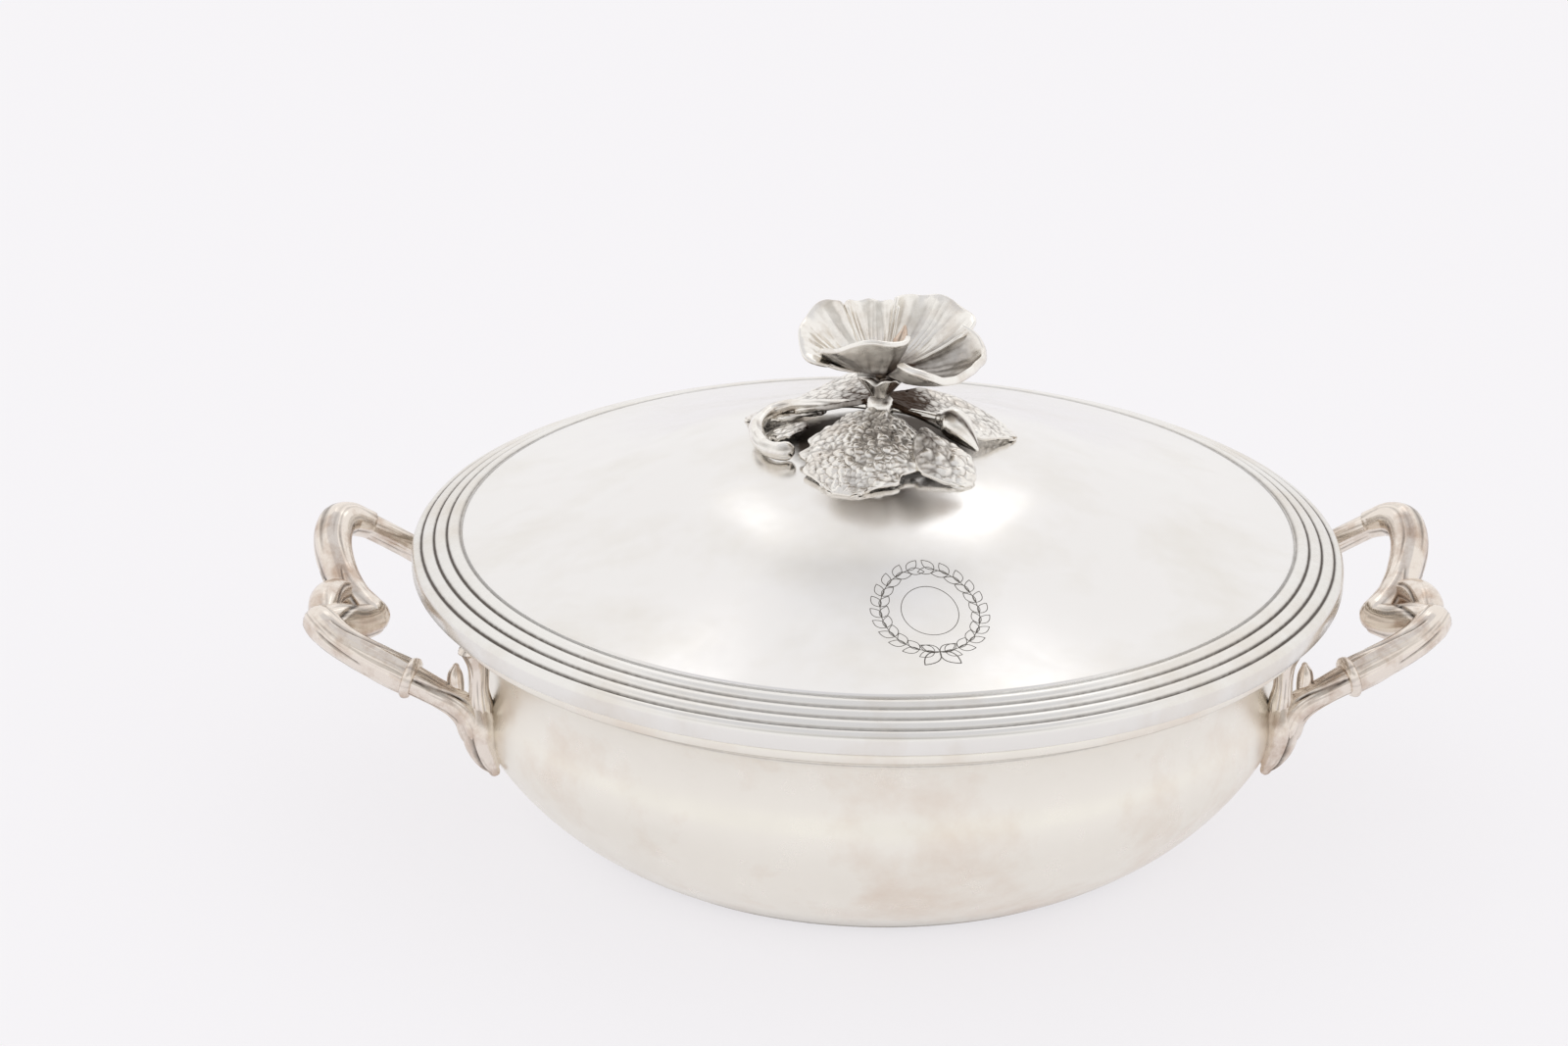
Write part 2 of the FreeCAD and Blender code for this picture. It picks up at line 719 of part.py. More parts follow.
for name in LEAF_ANGLES:
    pieces[name] = sheet_piece(name, leaf_point(name), size("leaf_wall").value)

# Tendrils and buds: round stems among the leaves, as shares of the leaves' reach and rise
finial_origin = (ZERO, ZERO, cover_top)
finial_lengths = (size("leaf_reach"), size("leaf_reach"), size("leaf_rise"))


def thin_stem(name, shares, ball_end=True):
    places = stations(shares, finial_origin, finial_lengths, size("tendril_radius"))
    return round_stem(name, places, ball_end=ball_end)


curl_shares = [
    (-0.05, 0.0, 1.12, 0.6),
    (-0.14, 0.06, 1.09, 0.65),
    (-0.24, 0.125, 1.03, 0.75),
    (-0.36, 0.19, 0.90, 0.85),
    (-0.49, 0.29, 0.72, 0.95),
    (-0.63, 0.37, 0.56, 1.05),
    (-0.77, 0.33, 0.42, 1.2),
    (-0.865, 0.12, 0.34, 1.35),
    (-0.86, -0.13, 0.30, 1.45),
    (-0.80, -0.30, 0.28, 1.5),
    (-0.70, -0.37, 0.30, 1.6),
]
curl_tendril = thin_stem("curl_tendril", curl_shares)
pieces["curl_tendril"] = fitted("curl_tendril", curl_tendril, pieces["finial_stem"])
bud_shares = [
    (0.43, -0.13, 0.95, 1.0),
    (0.49, -0.16, 0.92, 2.1),
    (0.56, -0.21, 0.72, 1.95),
    (0.63, -0.27, 0.46, 1.15),
    (0.69, -0.32, 0.22, 0.5),
]
right_bud = thin_stem("right_bud", bud_shares)
pieces["right_bud"] = right_bud
bud_stalk_shares = [
    (0.045, -0.01, 1.10, 0.5),
    (0.15, -0.045, 1.08, 0.55),
    (0.29, -0.085, 1.03, 0.6),
    (0.44, -0.135, 0.95, 0.65),
]
bud_stalk = thin_stem("bud_stalk", bud_stalk_shares, ball_end=False)
pieces["bud_stalk"] = fitted("bud_stalk", bud_stalk, right_bud, pieces["finial_stem"])
leaf_stalk_shares = [
    (0.04, -0.04, 0.95, 0.5),
    (0.10, -0.11, 0.90, 0.5),
    (0.16, -0.205, 0.80, 0.55),
    (0.213, -0.295, 0.67, 0.55),
]
leaf_stalk = thin_stem("leaf_stalk", leaf_stalk_shares, ball_end=False)
pieces["leaf_stalk"] = fitted("leaf_stalk", leaf_stalk, pieces["finial_stem"])

# Handles: cast branches. The right one is built, and the left one is its mirror image.
# Shares: of the reach beyond the belly, of the spread, of the rise above the root, and of
# the radius of the piece.
handle_origin = (bulge_radius, ZERO, size("bowl_height") - size("root_drop"))
handle_lengths = (size("handle_reach"), size("handle_spread"), size("handle_rise"))
handle = {}


def handle_places(shares, radius):
    return stations(shares, handle_origin, handle_lengths, size(radius))


far_shares = [
    (-0.09, 1.00, 0.02, 1.03),
    (0.11, 0.97, 0.24, 1.0),
    (0.34, 0.915, 0.49, 0.97),
    (0.57, 0.865, 0.71, 0.97),
    (0.79, 0.82, 0.908, 0.97),
]
branch_shares = [
    (0.79, 0.82, 0.908, 0.91),
    (0.905, 0.75, 0.985, 1.0),
    (0.985, 0.61, 1.0, 1.04),
    (1.0, 0.44, 0.87, 1.04),
    (0.94, 0.25, 0.67, 1.0),
    (0.835, 0.04, 0.54, 0.97),
    (0.68, -0.15, 0.45, 0.94),
]
knot_shares = [
    (0.68, -0.18, 0.43, 0.85),
    (0.80, -0.31, 0.44, 0.9),
    (0.92, -0.42, 0.52, 0.9),
    (1.01, -0.51, 0.59, 0.9),
]
knot_end_shares = [
    (0.90, 0.02, 0.58, 0.6),
    (0.99, -0.10, 0.62, 0.66),
    (1.04, -0.24, 0.65, 0.6),
]
near_shares = [
    (1.02, -0.545, 0.60, 0.92),
    (0.86, -0.70, 0.49, 0.92),
    (0.64, -0.80, 0.365, 0.93),
    (0.38, -0.895, 0.232, 0.98),
]
leg_shares = [
    (0.36, -0.902, 0.22, 0.9),
    (0.14, -0.965, 0.09, 0.84),
    (-0.08, -1.0, 0.0, 0.8),
]
root_shares = [
    (-0.10, 1.00, 0.0, 0.95),
    (-0.13, 1.005, 0.20, 0.68),
    (-0.13, 1.015, 0.43, 0.82),
    (-0.09, 1.03, 0.68, 1.2),
]
pad_shares = [
    (-0.10, 1.005, -0.05, 0.74),
    (-0.11, 1.05, -0.26, 1.1),
    (-0.17, 1.085, -0.46, 0.95),
    (-0.235, 1.11, -0.61, 0.5),
]
stub_shares = [
    (0.03, -0.94, 0.08, 0.5),
    (0.045, -0.92, 0.25, 0.62),
    (0.045, -0.90, 0.40, 0.36),
    (0.04, -0.89, 0.46, 0.12),
]


def nearer(shares):
    """The same places on the near side of the handle."""
    return [(x, -y, z, r) for x, y, z, r in shares]


# The thin stalk runs into the thick branch, so both share the circle where they meet
far_places = handle_places(far_shares, "stalk_radius")
branch_places = handle_places(branch_shares, "branch_radius")
whole_path = headings(far_places + branch_places[1:])
far_stalk = round_stem("far_stalk", far_places, whole_path[: len(far_places)])
branch = round_stem(
    "thick_branch", branch_places, whole_path[len(far_places) - 1 :], ball_end=True
)
near_places = handle_places(near_shares, "branch_radius")
near_branch = round_stem("near_branch", near_places, ball_start=True)
knot_stem = round_stem("knot_stem", handle_places(knot_shares, "branch_radius"))
knot_end = round_stem("knot_end", handle_places(knot_end_shares, "branch_radius"), ball_end=True)
handle["thick_branch"] = branch
handle["near_branch"] = near_branch
handle["knot_stem"] = fitted("knot_stem", knot_stem, branch, near_branch)
handle["knot_end"] = fitted("knot_end", knot_end, branch, near_branch, handle["knot_stem"])

# Collar: a narrow ring that closes the near branch
collar = doc.addObject("Part::Cylinder", "collar")
put(collar, near_places[-1], steady_turns(headings(near_places))[-1])
collar.setExpression("Radius", size("collar_radius").text)
collar.setExpression("Height", size("collar_width").text)
handle["collar"] = collar

# Roots: each fork has an upper root under the moulding and a leaf-shaped pad on the belly
leg = round_stem("near_leg", handle_places(leg_shares, "branch_radius"))
leg = fitted("near_leg_at_collar", leg, collar)
for end, turn in (("far", lambda shares: shares), ("near", nearer)):
    upper = round_stem(end + "_root", handle_places(turn(root_shares), "branch_radius"),
                       ball_start=True)
    pad = round_stem(end + "_pad", handle_places(turn(pad_shares), "branch_radius"),
                     ball_end=True)
    limb = far_stalk if end == "far" else leg
    handle[end + "_root"] = fitted(end + "_root", upper, outer_form)
    handle["far_stalk" if end == "far" else "near_leg"] = fitted(end + "_limb", limb, upper)
    handle[end + "_pad"] = fitted(end + "_pad", pad, upper, limb, outer_form)
stub = round_stem("bud_stub", handle_places(stub_shares, "branch_radius"), ball_end=True)
handle["bud_stub"] = fitted("bud_stub", stub, handle["near_leg"], handle["near_root"])

for name, item in handle.items():
    twin = doc.addObject("Part::Mirroring", "left_" + name)
    twin.Source = item
    twin.Normal = (1, 0, 0)
    pieces["right_" + name] = item
    pieces["left_" + name] = twin

# Names, checks and files
doc.recompute()
for name, item in pieces.items():
    item.Label = name
faults = [item.Name for item in doc.Objects if {"Invalid", "Error"} & set(item.State)]
if faults:
    raise RuntimeError("these objects failed: " + ", ".join(faults))
for name, item in pieces.items():
    if item.Label != name or item.Shape.isNull() or not item.Shape.isValid():
        raise RuntimeError("this piece is not sound: " + name)
    if not item.Shape.Solids:
        raise RuntimeError("this piece has no solid: " + name)
for name, item in pieces.items():
    item.Shape.exportStep("parts/%s.step" % name)
print("%d pieces written" % len(pieces))
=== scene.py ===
import math

import bpy
from mathutils import Matrix, Vector, noise


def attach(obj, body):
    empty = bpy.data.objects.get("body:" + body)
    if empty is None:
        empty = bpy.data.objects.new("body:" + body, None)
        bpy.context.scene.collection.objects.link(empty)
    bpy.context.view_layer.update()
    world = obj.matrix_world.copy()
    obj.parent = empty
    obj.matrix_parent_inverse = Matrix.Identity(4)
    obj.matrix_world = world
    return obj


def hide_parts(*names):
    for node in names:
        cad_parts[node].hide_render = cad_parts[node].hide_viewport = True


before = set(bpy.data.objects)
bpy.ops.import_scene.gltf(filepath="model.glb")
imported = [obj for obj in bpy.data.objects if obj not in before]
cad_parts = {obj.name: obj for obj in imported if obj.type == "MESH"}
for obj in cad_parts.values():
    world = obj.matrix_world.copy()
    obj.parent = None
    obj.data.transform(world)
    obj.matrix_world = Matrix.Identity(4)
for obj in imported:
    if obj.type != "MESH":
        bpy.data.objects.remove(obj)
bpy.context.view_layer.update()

# The camera looks down at the dish from the front, a little from its left, through a long lens.
MM = 0.001
CAMERA_PLACE = (-0.0626, -1.0382, 0.5040)
CAMERA_YAW = math.radians(-2.12)
CAMERA_PITCH = math.radians(22.372)
CAMERA_ROLL = math.radians(-0.814)

camera_data = bpy.data.cameras.new("camera")
camera_data.lens = 100
camera_data.sensor_width = 36
camera = bpy.data.objects.new("camera", camera_data)
bpy.context.collection.objects.link(camera)
turn = (
    Matrix.Rotation(CAMERA_YAW, 4, "Z")
    @ Matrix.Rotation(math.radians(90) - CAMERA_PITCH, 4, "X")
    @ Matrix.Rotation(-CAMERA_ROLL, 4, "Z")
)
camera.matrix_world = Matrix.Translation(CAMERA_PLACE) @ turn
bpy.context.scene.camera = camera
bpy.context.scene.view_settings.view_transform = "Standard"


# Room: a white table top that runs on behind the dish, under an even white sky.
# Two soft boxes hang behind and above the dish, and the polished cover mirrors them.
def linear(code):
    """An sRGB hex colour as linear red, green, blue and alpha."""
    parts = [int(code[at:at + 2], 16) / 255 for at in (0, 2, 4)]
    flat = [part / 12.92 if part <= 0.04045 else ((part + 0.055) / 1.055) ** 2.4 for part in parts]
    return (*flat, 1.0)


def node(tree, kind, inputs=None, **settings):
    """Adds a node with its settings; each input is a value, a socket, a node or a list of nodes."""
    item = tree.nodes.new(kind)
    for name, value in settings.items():
        setattr(item, name, value)
    for name, values in (inputs or {}).items():
        for value in values if isinstance(values, list) else [values]:
            if isinstance(value, bpy.types.Node):
                value = value.outputs[0]
            if isinstance(value, bpy.types.NodeSocket):
                tree.links.new(value, item.inputs[name])
            else:
                item.inputs[name].default_value = value
    return item


def new_material(name):
    """A new material, and its empty node tree."""
    material = bpy.data.materials.new(name)
    material.use_nodes = True
    tree = material.node_tree
    tree.nodes.clear()
    return material, tree


TABLE_WHITE = linear("F3F2F3")
PAPER_GLOW, GLOW_SHARE = linear("FDFBFE"), 0.7
table_paper, tree = new_material("table_paper")
paper = node(tree, "ShaderNodeBsdfDiffuse", {"Color": TABLE_WHITE})
glow = node(tree, "ShaderNodeEmission", {"Color": PAPER_GLOW, "Strength": 1.0})
ray = node(tree, "ShaderNodeLightPath")
seen = node(tree, "ShaderNodeMath", {
    0: ray.outputs["Is Camera Ray"], 1: ray.outputs["Is Glossy Ray"]
}, operation="MAXIMUM")
seen_through = node(tree, "ShaderNodeMath", {
    0: seen, 1: ray.outputs["Is Transmission Ray"]
}, operation="MAXIMUM")
share = node(tree, "ShaderNodeMath", {0: seen_through, 1: GLOW_SHARE}, operation="MULTIPLY")
bright_paper = node(tree, "ShaderNodeMixShader", {0: share, 1: paper, 2: glow})
node(tree, "ShaderNodeOutputMaterial", {"Surface": bright_paper})

TABLE_HALF = 6.0
table_mesh = bpy.data.meshes.new("table")
corners = [(-1, -1), (1, -1), (1, 1), (-1, 1)]
table_mesh.from_pydata([(x * TABLE_HALF, y * TABLE_HALF, 0) for x, y in corners], [], [(0, 1, 2, 3)])
table_mesh.materials.append(table_paper)
table = bpy.data.objects.new("table", table_mesh)
bpy.context.collection.objects.link(table)

# White walls stand behind and beside the dish. The ceiling is a little greyer, and so is the
# room behind the camera, which gives curved silver its darker edges.
WALL_WHITE, CEILING_GREY, ROOM_GREY = linear("FDFCFC"), linear("E2E2E5"), linear("B9B7B4")
# Where each share rises from 0 to 1, along one axis of a way in the room, from -1 to 1
CEILING_EDGE, ROOM_EDGE, ROOM_FOOT = ("Z", 0.855, 0.875), ("Y", -0.35, -0.85), ("Z", 0.36, 0.62)
world = bpy.data.worlds.new("room")
world.use_nodes = True
tree = world.node_tree
tree.nodes.clear()
place = node(tree, "ShaderNodeTexCoord")
way = node(tree, "ShaderNodeSeparateXYZ", {"Vector": place.outputs["Generated"]})
high, behind, raised = [
    node(tree, "ShaderNodeMapRange", {"Value": way.outputs[axis], "From Min": first, "From Max": last})
    for axis, first, last in (CEILING_EDGE, ROOM_EDGE, ROOM_FOOT)
]
room_share = node(tree, "ShaderNodeMath", {0: behind, 1: raised}, operation="MULTIPLY")
screens = node(tree, "ShaderNodeMix", {0: high, 6: WALL_WHITE, 7: CEILING_GREY}, data_type="RGBA")
tone = node(tree, "ShaderNodeMix", {0: room_share, 6: screens.outputs[2], 7: ROOM_GREY}, data_type="RGBA")
air = node(tree, "ShaderNodeBackground", {"Color": tone.outputs[2], "Strength": 1.0})
node(tree, "ShaderNodeOutputWorld", {"Surface": air})
bpy.context.scene.world = world

# The brightness of a soft box is that of its surface, and adds to that of the wall behind it
for name, place, target, width, depth, brightness in (
    ("right_soft_box", (0.106, 0.267, 0.39), (0.02, -0.05, 0.09), 0.08, 0.16, 0.44),
    ("left_soft_box", (-0.102, 0.262, 0.39), (-0.02, -0.05, 0.09), 0.04, 0.13, 0.35),
):
    lamp_data = bpy.data.lights.new(name, "AREA")
    lamp_data.shape = "RECTANGLE"
    lamp_data.size = width
    lamp_data.size_y = depth
    lamp_data.energy = brightness * math.pi * width * depth
    lamp = bpy.data.objects.new(name, lamp_data)
    lamp.visible_camera = False
    aim = (Vector(target) - Vector(place)).to_track_quat("-Z", "Y")
    lamp.matrix_world = Matrix.Translation(place) @ aim.to_matrix().to_4x4()
    bpy.context.collection.objects.link(lamp)

# Bowl: spun from one sheet of nickel silver and plated; the plate is worn and stained.
# A full belly under a hollow neck, open at the top, with a flat foot; wall 1.2 mm.
BASE_RADIUS = 78.0
BULGE_RADIUS, BULGE_HEIGHT, BULGE_TURN = 106.2, 34.0, math.radians(30)
NECK_RADIUS, NECK_HEIGHT, NECK_ARC = 103.8, 47.0, 20.0
MOUTH_RADIUS, BOWL_HEIGHT, BOWL_WALL = 107.0, 66.2, 1.2
BELLY_ARC = (
    ((BULGE_RADIUS - NECK_RADIUS) ** 2 + (NECK_HEIGHT - BULGE_HEIGHT) ** 2)
    / (2 * (BULGE_RADIUS - NECK_RADIUS))
    - NECK_ARC
)
BELLY_AXIS = BULGE_RADIUS - BELLY_ARC
NECK_AXIS = NECK_RADIUS + NECK_ARC
BELLY_END = (
    BELLY_AXIS + BELLY_ARC * math.cos(BULGE_TURN), BULGE_HEIGHT - BELLY_ARC * math.sin(BULGE_TURN)
)
FOOT_RUN = BELLY_END[0] - BASE_RADIUS
FOOT_ARC = (FOOT_RUN ** 2 + BELLY_END[1] ** 2) / (
    2 * (FOOT_RUN * math.cos(BULGE_TURN) - BELLY_END[1] * math.sin(BULGE_TURN))
)
FOOT_AXIS = BELLY_END[0] - FOOT_ARC * math.cos(BULGE_TURN)
FOOT_MIDDLE = BELLY_END[1] + FOOT_ARC * math.sin(BULGE_TURN)
BELLY_SHARE = BELLY_ARC / (BELLY_ARC + NECK_ARC)
BELLY_TOP = BULGE_HEIGHT + (NECK_HEIGHT - BULGE_HEIGHT) * BELLY_SHARE


def side_radius(height, inward=0.0):
    """The bowl's radius at a height in mm, moved inwards by a thickness."""
    if height < BELLY_END[1]:
        run = FOOT_MIDDLE - height
        return FOOT_AXIS + math.sqrt((FOOT_ARC - inward) ** 2 - run ** 2)
    if height < BELLY_TOP:
        run = height - BULGE_HEIGHT
        return BELLY_AXIS + math.sqrt((BELLY_ARC - inward) ** 2 - run ** 2)
    arc = NECK_ARC + inward
    run = min(abs(height - NECK_HEIGHT), arc)
    hollow = NECK_AXIS - math.sqrt(arc ** 2 - run ** 2)
    if height > NECK_HEIGHT and hollow > MOUTH_RADIUS - inward:
        return MOUTH_RADIUS - inward
    return hollow


def new_piece(name, points, faces, material, hollow=None):
    """A smooth mesh piece from points in mm, with how dark each point is painted, by oxide in hollows and by
    painted shade.
    """
    mesh = bpy.data.meshes.new(name)
    mesh.from_pydata([(x * MM, y * MM, z * MM) for x, y, z in points], [], faces)
    if hollow is not None:
        depth = mesh.attributes.new("hollow", "FLOAT", "POINT")
        depth.data.foreach_set("value", hollow)
    mesh.polygons.foreach_set("use_smooth", [True] * len(mesh.polygons))
    mesh.materials.append(material)
    piece = bpy.data.objects.new(name, mesh)
    bpy.context.collection.objects.link(piece)
    return piece


def settle(piece):
    """Turns what a piece's modifiers make into its own plain mesh."""
    graph = bpy.context.evaluated_depsgraph_get()
    mesh = bpy.data.meshes.new_from_object(piece.evaluated_get(graph), depsgraph=graph)
    piece.modifiers.clear()
    mesh.name = piece.name
    piece.data = mesh
    return piece


def apply_tree(piece, tree, **values):
    """Runs a geometry tree on a piece with the given named inputs."""
    modifier = piece.modifiers.new(tree.name, "NODES")
    modifier.node_group = tree
    for item in tree.interface.items_tree:
        if item.name in values:
            modifier[item.identifier] = values[item.name]
    return settle(piece)


def geometry_tree(name, inputs):
    """A geometry tree with named inputs of given kinds, and the sockets that give their values."""
    tree = bpy.data.node_groups.new(name, "GeometryNodeTree")
    for label, kind in inputs.items():
        tree.interface.new_socket(label, in_out="INPUT", socket_type="NodeSocket" + kind)
    tree.interface.new_socket("Geometry", in_out="OUTPUT", socket_type="NodeSocketGeometry")
    return tree, node(tree, "NodeGroupInput").outputs


# The lathe: an outline of (radius, height) points is swept once round the dish's axis
lathe, given = geometry_tree("lathe", {
    "Geometry": "Geometry", "Segments": "Int", "Radius": "Float", "Finish": "Material"
})
outline_curve = node(lathe, "GeometryNodeMeshToCurve", {"Mesh": given["Geometry"]})
way_round = node(lathe, "GeometryNodeCurvePrimitiveCircle", {
    "Resolution": given["Segments"], "Radius": given["Radius"]
})
swept = node(lathe, "GeometryNodeCurveToMesh", {"Curve": way_round, "Profile Curve": outline_curve})
closed = node(lathe, "GeometryNodeMergeByDistance", {"Geometry": swept, "Distance": 0.000002})
outward = node(lathe, "GeometryNodeFlipFaces", {"Mesh": closed})
smooth = node(lathe, "GeometryNodeSetShadeSmooth", {"Geometry": outward})
painted = node(lathe, "GeometryNodeSetMaterial", {"Geometry": smooth, "Material": given["Finish"]})
node(lathe, "NodeGroupOutput", {"Geometry": painted})

LATHE_RADIUS = 0.1


def turned(name, outline, material, segments=288, hollow=None):
    """A piece turned from a closed outline of (radius, height) points in mm."""
    mesh = bpy.data.meshes.new(name)
    count = len(outline)
    points = [(radius * MM - LATHE_RADIUS, -height * MM, 0) for radius, height in outline]
    mesh.from_pydata(points, [(i, (i + 1) % count) for i in range(count)], [])
    depth = mesh.attributes.new("hollow", "FLOAT", "POINT")
    depth.data.foreach_set("value", hollow or [0.0] * count)
    piece = bpy.data.objects.new(name, mesh)
    bpy.context.collection.objects.link(piece)
    apply_tree(piece, lathe, Segments=segments, Radius=LATHE_RADIUS, Finish=material)
    return piece


GRIME_MM, WEAR_MM = 1.6, 9.0


def plated_silver(name, clean, stain, dark, patch_mm, patch_share, rough, bump):
    """Silver plate: patches of stain, dark with oxide in its hollows and with painted shade, with fine wear
    in its gloss.
    """
    material, tree = new_material(name)
    place = node(tree, "ShaderNodeTexCoord").outputs["Object"]
    patches = node(tree, "ShaderNodeTexNoise", {
        "Vector": place, "Scale": 1 / (patch_mm * MM), "Detail": 5.0, "Roughness": 0.62
    })
    spread = node(tree, "ShaderNodeMapRange", {
        "Value": patches, "From Min": 0.47, "From Max": 0.72, "To Max": patch_share
    })
    cloudy = node(tree, "ShaderNodeMix", {0: spread, 6: linear(clean), 7: linear(stain)}, data_type="RGBA")
    depth = node(tree, "ShaderNodeAttribute", attribute_name="hollow").outputs["Fac"]
    grime = node(tree, "ShaderNodeTexNoise", {"Vector": place, "Scale": 1 / (GRIME_MM * MM), "Detail": 3.0})
    # The hollow attribute holds oxide in hollows and painted shade; both are mixed towards the dark colour.
    grime_and_shade_depth = node(tree, "ShaderNodeMath", {0: depth, 1: grime, 2: depth}, operation="MULTIPLY_ADD")
    grime_and_shade_share = node(tree, "ShaderNodeMapRange", {"Value": grime_and_shade_depth, "From Min": 0.15, "From Max": 1.35})
    colour = node(tree, "ShaderNodeMix", {
        0: grime_and_shade_share, 6: cloudy.outputs[2], 7: linear(dark)
    }, data_type="RGBA")
    wear = node(tree, "ShaderNodeTexNoise", {"Vector": place, "Scale": 1 / (WEAR_MM * MM), "Detail": 4.0})
    gloss = node(tree, "ShaderNodeMapRange", {
        "Value": wear, "From Min": 0.3, "From Max": 0.7, "To Min": rough[0], "To Max": rough[1]
    })
    dull = node(tree, "ShaderNodeMath", {0: grime_and_shade_share, 1: 0.35, 2: gloss}, operation="MULTIPLY_ADD")
    grain = node(tree, "ShaderNodeTexNoise", {"Vector": place, "Scale": 1 / (bump[0] * MM), "Detail": 3.0})
    relief = node(tree, "ShaderNodeBump", {"Height": grain, "Strength": 0.5, "Distance": bump[1] * MM})
    metal = node(tree, "ShaderNodeBsdfPrincipled", {
        "Base Color": colour.outputs[2], "Metallic": 1.0, "Roughness": dull, "Normal": relief
    })
    node(tree, "ShaderNodeOutputMaterial", {"Surface": metal})
    return material


def bell(off, width):
    """1 at no distance, falling smoothly to nothing about twice the width away."""
    return math.exp(-(off / width) ** 2)


bowl_silver = plated_silver(
    "spun_silver_plate_worn", clean="F4F0E7", stain="DCC6B2", dark="5A5048", patch_mm=30, patch_share=0.48,
    rough=(0.26, 0.36), bump=(3.0, 0.012),
)
outside = [(BASE_RADIUS * share, 0.0) for share in (0, 0.3, 0.6, 0.85, 0.985)]
outside += [(side_radius(0.15) - 0.1, 0.02)]
steps = 64
for step in range(steps + 1):
    level = 0.15 + (BOWL_HEIGHT - 0.35) * step / steps
    outside.append((side_radius(level), level))
outside += [(MOUTH_RADIUS - 0.15, BOWL_HEIGHT - 0.02), (MOUTH_RADIUS - 0.6, BOWL_HEIGHT)]
inside = []
for step in range(steps + 1):
    level = BOWL_WALL + 0.3 + (BOWL_HEIGHT - BOWL_WALL - 0.5) * (1 - step / steps)
    inside.append((side_radius(level, BOWL_WALL), level))
inside += [(BASE_RADIUS * share, BOWL_WALL) for share in (0.98, 0.85, 0.6, 0.3, 0)]
bowl_outline = outside + inside
foot_shade_and_grime = []
for index, (radius, level) in enumerate(bowl_outline):
    # Painted shade: the bowl is painted darker towards its foot, for the table it mirrors and its own shadow
    # there.
    foot_shade = 0.4 * max(0.0, 1 - level / 2.5) + 0.36 * max(0.0, 1 - level / 18) ** 2
    under_band = bell(level - 58.0, 0.5)
    foot_shade_and_grime.append(min(1.0, foot_shade + 0.7 * under_band) if 6 <= index < len(outside) else 0.0)
bowl = turned("bowl", bowl_outline, bowl_silver, hollow=foot_shade_and_grime)
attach(bowl, "dish")
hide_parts("bowl_shell")

# Rim moulding: a drawn strip with a hollow side and a rounded lip, soldered round the mouth.
# The same worn plate as the bowl, with grime in the soldered corner.
BAND_HEIGHT, BAND_FOOT, BAND_FILLET = 8.0, 2.0, 0.7
BAND_REACH, BAND_LIP, CAVETTO_ARC = 10.0, 3.4, 8.0
ROUND_SHARE = 0.62


def arc_points(start, end, radius, count):
    """Points along the short arc from start to end; a positive radius bulges to the right."""
    start, end = Vector(start), Vector(end)
    chord = end - start
    left = Vector((-chord.y, chord.x)).normalized()
    away = math.sqrt(max(radius ** 2 - chord.length_squared / 4, 0))
    centre = (start + end) / 2 + left * math.copysign(away, radius)
    first = math.atan2(start.y - centre.y, start.x - centre.x)
    last = math.atan2(end.y - centre.y, end.x - centre.x)
    sweep = (last - first + math.pi) % (2 * math.pi) - math.pi
    return [
        (
            centre.x + abs(radius) * math.cos(first + sweep * step / count),
            centre.y + abs(radius) * math.sin(first + sweep * step / count),
        )
        for step in range(count + 1)
    ]


lip_crown = BAND_LIP * ROUND_SHARE
lip_bulge = lip_crown - math.sqrt(lip_crown ** 2 - (BAND_LIP / 2) ** 2)
lip_back = MOUTH_RADIUS + BAND_REACH - lip_bulge
band_bottom = BOWL_HEIGHT - BAND_HEIGHT
band_edge = MOUTH_RADIUS + BAND_FOOT
band_outline = [(band_edge - 0.15, band_bottom), (band_edge, band_bottom + 0.15)]
band_outline += arc_points(
    (band_edge, band_bottom + BAND_FILLET), (lip_back, BOWL_HEIGHT - BAND_LIP), -CAVETTO_ARC, 14
)
band_outline += arc_points((lip_back, BOWL_HEIGHT - BAND_LIP), (lip_back, BOWL_HEIGHT), lip_crown, 10)[1:]
band_outline += [(MOUTH_RADIUS + 0.02, BOWL_HEIGHT), (MOUTH_RADIUS + 0.02, band_bottom)]
band_grime = [
    0.55 * bell(level - 62.6, 0.5) + 0.4 * bell(level - 59.0, 0.35) for radius, level in band_outline
]
band = turned("rim_band", band_outline, bowl_silver, hollow=band_grime)
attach(band, "dish")
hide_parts("rim_moulding")

# Cover: spun from one sheet, hollow towards its seam and full at the top, then polished.
# The bright plate mirrors the soft boxes; its stains are faint, and it is painted dark under the leaves, as
# shade with some tarnish.
COVER_WALL, COVER_RADIUS, COVER_RISE = 1.2, 120.0, 10.0
RIM_SLOPE, CROWN_SLOPE = math.radians(12.0), math.radians(20.7)
CROWN_RADIUS, CROWN_FLAT = 62.0, 10.0
REED_PITCH, REEDS, EDGE_WIDTH, SEAM_WIDTH = 3.3, 3, 2.5, 0.6
GROOVE_RADIUS = COVER_RADIUS - EDGE_WIDTH
FIRST_GROOVE = GROOVE_RADIUS - REED_PITCH * REEDS
SEAM_RADIUS = FIRST_GROOVE - SEAM_WIDTH
SEAM_HEIGHT = BOWL_HEIGHT + COVER_RISE
FLARE_ARC = (SEAM_RADIUS - CROWN_RADIUS) / (math.sin(CROWN_SLOPE) - math.sin(RIM_SLOPE))
FLARE_AXIS = SEAM_RADIUS + FLARE_ARC * math.sin(RIM_SLOPE)
FLARE_MIDDLE = SEAM_HEIGHT + FLARE_ARC * math.cos(RIM_SLOPE)
CROWN_ARC = (CROWN_RADIUS - CROWN_FLAT) / math.sin(CROWN_SLOPE)
CROWN_MIDDLE = FLARE_MIDDLE - (FLARE_ARC + CROWN_ARC) * math.cos(CROWN_SLOPE)
COVER_TOP = CROWN_MIDDLE + CROWN_ARC
STUD_HOLE = 2.8


